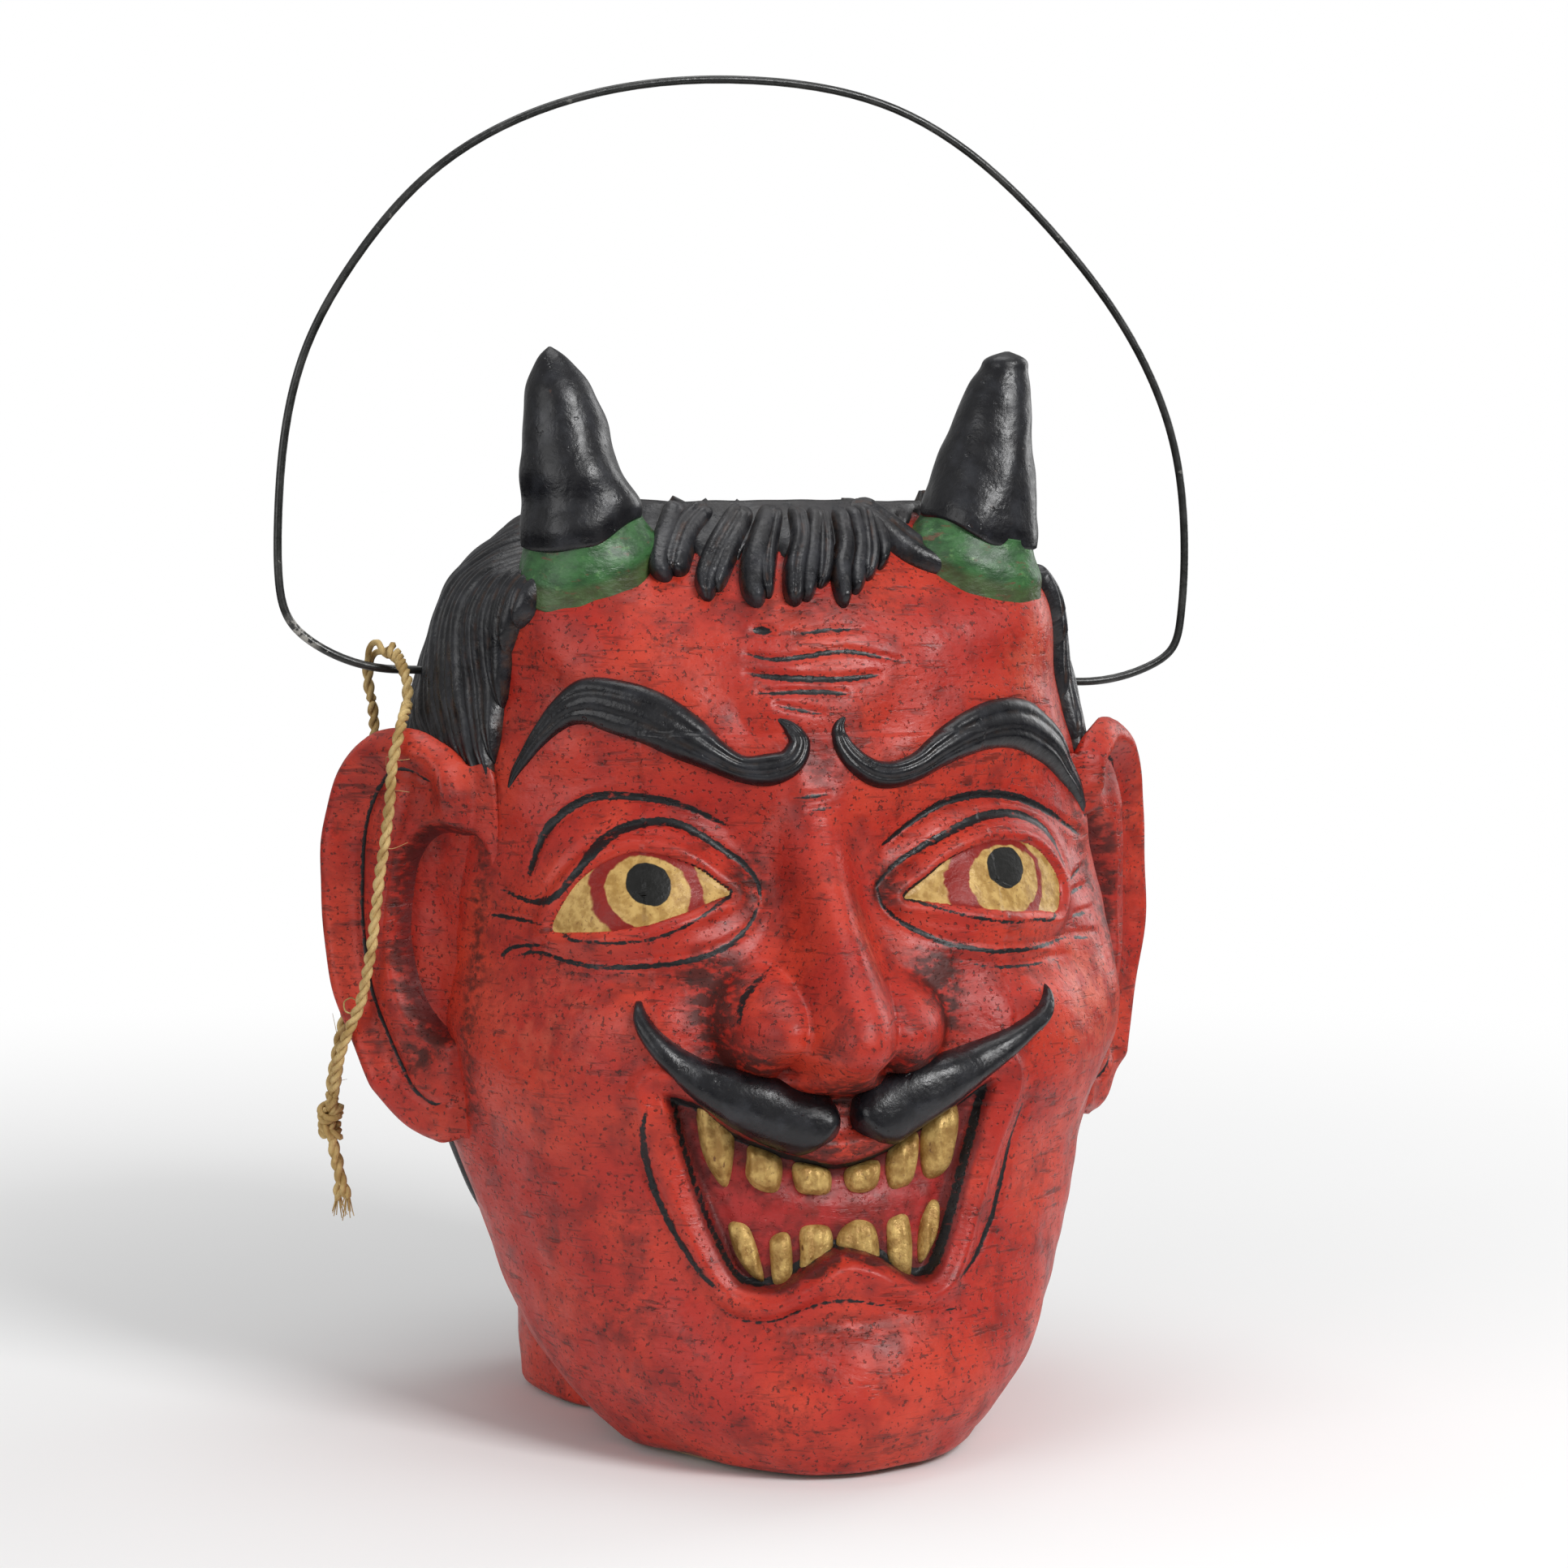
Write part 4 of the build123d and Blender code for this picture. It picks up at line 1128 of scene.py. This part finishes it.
# ------------------------------------------------------------------ materials
class Paint:
    """A node material, with short calls for the few kinds of node used here. Noise lengths are in mm."""

    def __init__(self, name):
        self.material = bpy.data.materials.new(name)
        self.material.use_nodes = True
        self.tree = self.material.node_tree
        self.shader = next(n for n in self.tree.nodes if n.type == "BSDF_PRINCIPLED")
        coordinates = self.node("ShaderNodeTexCoord")
        self.place = self.vector("SCALE", coordinates.outputs["Object"], scale=1 / MM)

    def node(self, kind, **settings):
        made = self.tree.nodes.new(kind)
        for key, setting in settings.items():
            setattr(made, key, setting)
        return made

    def feed(self, socket, value):
        if isinstance(value, bpy.types.NodeSocket):
            self.tree.links.new(value, socket)
        elif socket.type == "RGBA" and len(value) == 3:
            socket.default_value = (*value, 1)
        else:
            socket.default_value = value

    def vector(self, operation, a, b=None, scale=None):
        made = self.node("ShaderNodeVectorMath", operation=operation)
        self.feed(made.inputs[0], a)
        if b is not None:
            self.feed(made.inputs[1], b)
        if scale is not None:
            made.inputs["Scale"].default_value = scale
        return made.outputs["Value" if operation == "LENGTH" else "Vector"]

    def maths(self, operation, a, b=0.5):
        made = self.node("ShaderNodeMath", operation=operation)
        self.feed(made.inputs[0], a)
        self.feed(made.inputs[1], b)
        return made.outputs[0]

    def value(self, name):
        return self.node("ShaderNodeAttribute", attribute_name=name).outputs["Fac"]

    def noise(self, length, detail=3.0, stretch=(1, 1, 1), roughness=0.55):
        scaled = self.vector("MULTIPLY", self.place, tuple(s / length for s in stretch))
        made = self.node("ShaderNodeTexNoise")
        self.feed(made.inputs["Vector"], scaled)
        made.inputs["Scale"].default_value = 1.0
        made.inputs["Detail"].default_value = detail
        made.inputs["Roughness"].default_value = roughness
        return made.outputs["Fac"]

    def cells(self, length, stretch=(1, 1, 1)):
        scaled = self.vector("MULTIPLY", self.place, tuple(s / length for s in stretch))
        made = self.node("ShaderNodeTexVoronoi")
        self.feed(made.inputs["Vector"], scaled)
        made.inputs["Scale"].default_value = 1.0
        return made.outputs["Distance"]

    def span(self, value, low, high, to_low=0.0, to_high=1.0):
        made = self.node("ShaderNodeMapRange", interpolation_type="SMOOTHSTEP")
        for key, number in (("From Min", low), ("From Max", high), ("To Min", to_low), ("To Max", to_high)):
            made.inputs[key].default_value = number
        self.feed(made.inputs["Value"], value)
        return made.outputs["Result"]

    def mix(self, share, a, b):
        made = self.node("ShaderNodeMix", data_type="RGBA")
        self.feed(made.inputs["Factor"], share)
        self.feed(made.inputs[6], a)
        self.feed(made.inputs[7], b)
        return made.outputs[2]

    def bump(self, height, distance, strength=1.0, under=None):
        made = self.node("ShaderNodeBump")
        made.inputs["Distance"].default_value = distance * MM
        made.inputs["Strength"].default_value = strength
        self.feed(made.inputs["Height"], height)
        if under is not None:
            self.feed(made.inputs["Normal"], under)
        return made.outputs["Normal"]

    def finish(self, colour, roughness, normal=None, metallic=0.0, coat=0.0, specular=0.5):
        self.feed(self.shader.inputs["Base Color"], colour)
        self.feed(self.shader.inputs["Roughness"], roughness)
        self.feed(self.shader.inputs["Metallic"], metallic)
        self.feed(self.shader.inputs["Coat Weight"], coat)
        self.shader.inputs["Coat Roughness"].default_value = 0.25
        self.shader.inputs["Specular IOR Level"].default_value = specular
        if normal is not None:
            self.feed(self.shader.inputs["Normal"], normal)
        return self.material


BLACK = (0.004, 0.004, 0.005)
# the brown of the antiquing, also used for painted shade
PATINA_AND_SHADE_BROWN = (0.022, 0.006, 0.004)
RED = (0.42, 0.020, 0.011)
RED_ORANGE = (0.56, 0.045, 0.020)
RED_DEEP = (0.17, 0.008, 0.006)
HIGHLIGHT_SALMON = (0.66, 0.125, 0.070)


def red_paint():
    """Old red paint with brown antiquing rubbed into its brush marks, pores and hollows, painted shade in the hollows
    and under overhangs, a painted shadow in the mouth and salmon painted highlights.
    """
    p = Paint("antiqued_red_paint")
    colour = p.mix(p.span(p.noise(26, 3), 0.35, 0.68), RED, RED_ORANGE)
    colour = p.mix(p.span(p.noise(9, 4), 0.46, 0.74, 0, 0.7), colour, RED_DEEP)
    # painted highlights: the salmon tone where the pale value is laid on
    pale = p.maths("MULTIPLY", p.value("pale"), p.span(p.noise(5, 4), 0.25, 0.7))
    colour = p.mix(p.span(pale, 0.05, 0.9, 0, 0.75), colour, HIGHLIGHT_SALMON)
    dashes = p.noise(3.4, 3, (0.32, 0.32, 1.9), 0.6)
    patches = p.span(p.noise(17, 2), 0.38, 0.62, 0.15, 1)
    dash = p.maths("MULTIPLY", p.span(dashes, 0.56, 0.68), patches)
    scratch = p.span(p.noise(2.2, 2, (0.25, 0.25, 2.4)), 0.64, 0.7)
    pores = p.span(p.noise(1.1, 2), 0.60, 0.68)
    grime = p.maths("MULTIPLY", p.span(p.noise(1.8, 5, roughness=0.7), 0.48, 0.66), p.span(p.noise(12, 3), 0.4, 0.7))
    colour = p.mix(p.maths("MULTIPLY", dash, 0.62), colour, PATINA_AND_SHADE_BROWN)
    colour = p.mix(p.maths("MULTIPLY", scratch, 0.4), colour, PATINA_AND_SHADE_BROWN)
    colour = p.mix(p.maths("MULTIPLY", pores, 0.7), colour, PATINA_AND_SHADE_BROWN)
    colour = p.mix(p.maths("MULTIPLY", grime, 0.55), colour, PATINA_AND_SHADE_BROWN)
    # brown antiquing and painted shade in the hollows and under overhangs
    dirt = p.maths("MULTIPLY", p.value("dirt"), p.span(p.noise(2.6, 5, (0.7, 0.7, 1.3)), 0.3, 0.62, 0.15, 1.1))
    colour = p.mix(p.span(dirt, 0.08, 0.95, 0, 0.86), colour, PATINA_AND_SHADE_BROWN)
    mouth = p.value("mouth")
    # deep red in the mouth, partly its own paint and partly painted shadow along its rim and wall; also painted shade
    # in the ear's bowl
    colour = p.mix(p.span(mouth, 3.0, 4.6, 0, 0.75), colour, (0.13, 0.008, 0.008))
    gum = p.maths("MULTIPLY", p.span(mouth, 8.0, 10.0), p.span(p.noise(4, 3), 0.3, 0.65))
    colour = p.mix(gum, colour, (0.36, 0.02, 0.018))
    edge = p.maths("ADD", p.value("ink"), p.span(p.noise(1.6, 2), 0.2, 0.8, -0.22, 0.22))
    ink = p.span(edge, 2.95, 3.18)
    ink = p.maths("MULTIPLY", ink, p.span(p.noise(2.4, 3, (0.6, 0.6, 1.4)), 0.28, 0.4, 0.35, 1))
    ink = p.maths("MAXIMUM", ink, p.value("hair_rim"))
    colour = p.mix(ink, colour, BLACK)
    relief = p.maths("SUBTRACT", p.noise(2.2, 5, (0.8, 0.8, 1.3)), p.maths("MULTIPLY", dash, 0.5))
    relief = p.maths("SUBTRACT", relief, p.maths("MULTIPLY", pores, 0.6))
    normal = p.bump(relief, 0.28, 0.8)
    normal = p.bump(p.noise(9, 3), 0.5, 0.6, normal)
    rough = p.span(p.noise(7, 4), 0.3, 0.7, 0.34, 0.52)
    return p.finish(colour, p.maths("ADD", rough, p.maths("MULTIPLY", dirt, 0.12)), normal, coat=0.04,
                    specular=0.38)


def black_paint(name, worn=(0.06, 0.035, 0.022), base=(0.006, 0.006, 0.008), rough=(0.24, 0.42)):
    """Glossy black paint, greyer where rubbed and brown where it has worn or filled with dust."""
    p = Paint(name)
    colour = p.mix(p.span(p.noise(6, 4), 0.45, 0.75), base, (0.022, 0.023, 0.028))
    colour = p.mix(p.span(p.noise(2.1, 4), 0.68, 0.78, 0, 0.55), colour, worn)
    groove = p.maths("SUBTRACT", 1.0, p.value("crown"))
    colour = p.mix(p.maths("MULTIPLY", p.span(groove, 0.6, 1.0, 0, 0.3), p.span(p.noise(4, 3), 0.45, 0.7)),
                   colour, worn)
    relief = p.maths("SUBTRACT", p.noise(1.7, 4), p.maths("MULTIPLY", p.span(p.noise(3.1, 2), 0.68, 0.74), 1.2))
    normal = p.bump(relief, 0.3, 0.7)
    return p.finish(colour, p.span(p.noise(5, 4), 0.3, 0.7, *rough), normal, coat=0.1, specular=0.42)


def hair_paint():
    """Black paint on combed locks: shiny ridges, greyer towards the rim at the top, brown in the grooves."""
    p = Paint("combed_hair_paint")
    crown = p.value("crown")
    colour = p.mix(p.span(p.noise(7, 4), 0.38, 0.7), (0.006, 0.006, 0.008), (0.024, 0.025, 0.030))
    height = p.node("ShaderNodeSeparateXYZ")
    p.feed(height.inputs[0], p.place)
    # lighter grey towards the rim at the top
    greyer_near_rim = p.maths("MULTIPLY", p.span(height.outputs["Z"], 219, 231), p.span(p.noise(3.5, 4), 0.3, 0.6))
    colour = p.mix(p.maths("MULTIPLY", greyer_near_rim, 0.45), colour, (0.055, 0.05, 0.048))
    brown = p.maths("MULTIPLY", p.span(crown, 0.35, 0.05), p.span(p.noise(3.2, 4), 0.42, 0.66))
    colour = p.mix(p.maths("MULTIPLY", brown, 0.6), colour, (0.055, 0.024, 0.013))
    worn = p.maths("MULTIPLY", p.span(crown, 0.7, 1.0), p.span(p.noise(2.2, 3), 0.56, 0.68))
    colour = p.mix(p.maths("MULTIPLY", worn, 0.3), colour, (0.11, 0.105, 0.105))
    relief = p.maths("ADD", p.noise(1.4, 4), p.maths("MULTIPLY", p.noise(4.5, 3), 1.5))
    normal = p.bump(relief, 0.3, 0.75)
    rough = p.maths("ADD", p.span(p.noise(4, 4), 0.3, 0.7, 0.24, 0.46), p.maths("MULTIPLY", greyer_near_rim, 0.25))
    return p.finish(colour, rough, normal, coat=0.12, specular=0.45)


def green_paint():
    p = Paint("mottled_green_paint")
    colour = p.mix(p.span(p.noise(5, 5, (1, 1, 1.6)), 0.34, 0.66), (0.016, 0.068, 0.018), (0.040, 0.145, 0.040))
    colour = p.mix(p.span(p.noise(2.4, 5), 0.58, 0.74, 0, 0.8), colour, (0.10, 0.24, 0.075))
    colour = p.mix(p.span(p.noise(2.6, 4, (0.6, 0.6, 1.6)), 0.60, 0.72, 0, 0.75), colour, (0.13, 0.045, 0.022))
    colour = p.mix(p.span(p.value("along"), 0.42, 0.28, 0, 0.35), colour, (0.10, 0.05, 0.02))
    normal = p.bump(p.noise(1.8, 5, (0.8, 0.8, 1.5)), 0.4, 0.85)
    return p.finish(colour, p.span(p.noise(4, 3), 0.3, 0.7, 0.36, 0.55), normal, coat=0.15)


def gold_leaf():
    """Rubbed gold leaf over red, with dark specks and the red showing at cracks."""
    p = Paint("rubbed_gold_leaf")
    colour = p.mix(p.span(p.noise(3.2, 5), 0.36, 0.66), (0.33, 0.18, 0.045), (0.60, 0.40, 0.13))
    colour = p.mix(p.span(p.noise(1.1, 3), 0.62, 0.72, 0, 0.6), colour, (0.12, 0.055, 0.02))
    colour = p.mix(p.span(p.noise(2.6, 4, (1, 1, 0.5)), 0.66, 0.72, 0, 0.75), colour, (0.10, 0.025, 0.012))
    normal = p.bump(p.noise(1.0, 5), 0.35, 0.9)
    return p.finish(colour, p.span(p.noise(2, 3), 0.3, 0.7, 0.34, 0.55), normal, metallic=0.35)


def eye_paint(side):
    """Gold leaf, a red ring, a gold ring and a dark pupil, each with a hand-painted edge."""
    p = Paint(f"painted_eye_{side}")
    gold = p.mix(p.span(p.noise(2.6, 5), 0.36, 0.66), (0.38, 0.215, 0.055), (0.60, 0.39, 0.13))
    gold = p.mix(p.span(p.noise(0.9, 3), 0.60, 0.70, 0, 0.55), gold, (0.17, 0.07, 0.025))
    red = p.mix(p.noise(3, 3), (0.15, 0.006, 0.004), (0.32, 0.014, 0.008))
    wobble = p.span(p.noise(4, 2), 0.2, 0.8, -0.05, 0.05)
    colour = gold
    inks = (red, gold, (0.010, 0.010, 0.009))
    for (centre, radii), ink in zip(IRIS[side], inks):
        away = p.vector("SUBTRACT", p.place, (centre[0], 0, centre[1]))
        away = p.vector("MULTIPLY", away, (1 / radii[0], 0, 1 / radii[1]))
        distance = p.maths("ADD", p.vector("LENGTH", away), wobble)
        colour = p.mix(p.span(distance, 1.03, 0.98), colour, ink)
    normal = p.bump(p.noise(1.2, 4), 0.22, 0.8)
    return p.finish(colour, p.span(p.noise(3, 3), 0.3, 0.7, 0.32, 0.48), normal, metallic=0.05, specular=0.3)


def pasted_paper():
    p = Paint("pasted_brown_paper")
    colour = p.mix(p.span(p.noise(14, 4), 0.35, 0.65), (0.23, 0.145, 0.075), (0.38, 0.26, 0.15))
    colour = p.mix(p.span(p.noise(0.9, 3, (1, 1, 0.3)), 0.58, 0.72, 0, 0.4), colour, (0.12, 0.07, 0.035))
    edges = p.span(p.cells(17), 0.02, 0.10)
    colour = p.mix(p.maths("SUBTRACT", 0.4, p.maths("MULTIPLY", edges, 0.4)), colour, (0.14, 0.085, 0.045))
    normal = p.bump(p.maths("ADD", p.noise(3, 5), edges), 0.4, 0.7)
    return p.finish(colour, 0.85, normal)


def twine_fibre():
    """Straw-coloured jute: long fine fibres along each ply, browner in places."""
    p = Paint("straw_twine")
    colour = p.mix(p.span(p.noise(5, 4), 0.35, 0.65), (0.42, 0.27, 0.095), (0.66, 0.48, 0.21))
    colour = p.mix(p.span(p.noise(0.7, 3, (1.6, 1.6, 0.5)), 0.56, 0.7, 0, 0.55), colour, (0.28, 0.17, 0.06))
    normal = p.bump(p.noise(0.45, 3, (1.6, 1.6, 0.4)), 0.2, 0.9)
    return p.finish(colour, 0.72, normal, specular=0.3)


def wire_paint():
    """Black paint on wire, chipped to grey primer at the bends."""
    p = Paint("worn_black_wire")
    colour = p.mix(p.span(p.noise(9, 4), 0.42, 0.7), (0.010, 0.011, 0.010), (0.035, 0.035, 0.033))
    chips = p.span(p.noise(3.2, 4), 0.66, 0.71)
    bend = p.vector("LENGTH", p.vector("SUBTRACT", p.place, (-116, 7, 197)))
    chips = p.maths("MULTIPLY", chips, p.span(bend, 30, 6, 0.35, 1))
    near = p.maths("MULTIPLY", p.span(bend, 7, 2.5), p.span(p.noise(1.8, 3), 0.44, 0.56))
    colour = p.mix(p.maths("MAXIMUM", chips, near), colour, (0.34, 0.33, 0.30))
    normal = p.bump(p.noise(1.6, 4), 0.15, 0.8)
    return p.finish(colour, p.span(p.noise(5, 3), 0.3, 0.7, 0.26, 0.5), normal, coat=0.2)


MATERIAL = {
    "red": red_paint(),
    "paper": pasted_paper(),
    "black": black_paint("gloss_black_brow_paint"),
    "horn": black_paint("worn_black_horn_paint", (0.075, 0.04, 0.03), (0.007, 0.007, 0.009), (0.24, 0.44)),
    "hair": hair_paint(),
    "green": green_paint(),
    "gold": gold_leaf(),
    "eye_right": eye_paint("right"),
    "eye_left": eye_paint("left"),
    "twine": twine_fibre(),
    "wire": wire_paint(),
}


# ------------------------------------------------------------------ stage, light and camera
def area_light(name, place, target, size, power, colour=(1, 1, 1)):
    data = bpy.data.lights.new(name, "AREA")
    data.shape = "RECTANGLE"
    data.size, data.size_y = size
    data.energy = power
    data.color = colour
    light = bpy.data.objects.new(name, data)
    light.location = place
    light.rotation_euler = (Vector(target) - Vector(place)).to_track_quat("-Z", "Y").to_euler()
    bpy.context.scene.collection.objects.link(light)


BACKDROP = (1.0, 1.0, 1.0)


def stage():
    """A pale floor that fades into the pale studio round it, a soft key from the right and a little fill."""
    mesh = bpy.data.meshes.new("floor")
    size = 6.0
    mesh.from_pydata([(-size, -size, 0), (size, -size, 0), (size, size, 0), (-size, size, 0)], [], [(0, 1, 2, 3)])
    floor = bpy.data.objects.new("floor", mesh)
    floor.location.z = -0.0005
    bpy.context.scene.collection.objects.link(floor)
    p = Paint("pale_floor")
    far = p.span(p.vector("LENGTH", p.place), 150, 800)
    near_colour = p.mix(p.noise(300, 2), (0.86, 0.86, 0.86), (0.89, 0.89, 0.89))
    mesh.materials.append(p.finish(p.mix(far, near_colour, (0, 0, 0)), 0.9, specular=0.0))
    p.feed(p.shader.inputs["Emission Color"], BACKDROP)
    seen = p.node("ShaderNodeLightPath").outputs["Is Camera Ray"]
    p.feed(p.shader.inputs["Emission Strength"], p.maths("MULTIPLY", far, seen))
    world = bpy.data.worlds.new("studio")
    bpy.context.scene.world = world
    world.use_nodes = True
    background = world.node_tree.nodes["Background"]
    background.inputs["Color"].default_value = (*BACKDROP, 1)
    seen = world.node_tree.nodes.new("ShaderNodeLightPath")
    strength = world.node_tree.nodes.new("ShaderNodeMapRange")
    strength.inputs["To Min"].default_value = 0.36
    strength.inputs["To Max"].default_value = 1.0
    world.node_tree.links.new(seen.outputs["Is Camera Ray"], strength.inputs["Value"])
    world.node_tree.links.new(strength.outputs["Result"], background.inputs["Strength"])
    head = (0, 0, 0.16)
    area_light("key", (0.55, -1.1, 0.95), head, (0.5, 0.5), 14)
    area_light("fill", (-1.2, -0.7, 0.5), head, (0.9, 0.9), 5)
    area_light("top", (0.0, 0.2, 1.4), head, (0.8, 0.8), 5)
    area_light("rim", (1.1, 0.6, 0.6), head, (0.5, 0.9), 4)


CAMERA_PLACE = (-0.2299, -0.9218, 0.230)
CAMERA_LOOK = (0.2497, 0.9654, -0.0759)


def camera():
    data = bpy.data.cameras.new("camera")
    data.lens = 84.3
    data.sensor_width = 36
    data.clip_start = 0.05
    made = bpy.data.objects.new("camera", data)
    made.location = CAMERA_PLACE
    made.rotation_euler = Vector(CAMERA_LOOK).to_track_quat("-Z", "Y").to_euler()
    bpy.context.scene.collection.objects.link(made)
    bpy.context.scene.camera = made
    bpy.context.scene.view_settings.view_transform = "Standard"


# ------------------------------------------------------------------ assembly
head_shells()
base_disc()
eyes()
teeth()
brows()
moustaches()
fringe()
side_hair()
back_hair()
ears()
horns()
twine()
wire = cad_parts["bail_wire"]
wire.data.materials.clear()
wire.data.materials.append(MATERIAL["wire"])
stage()
camera()
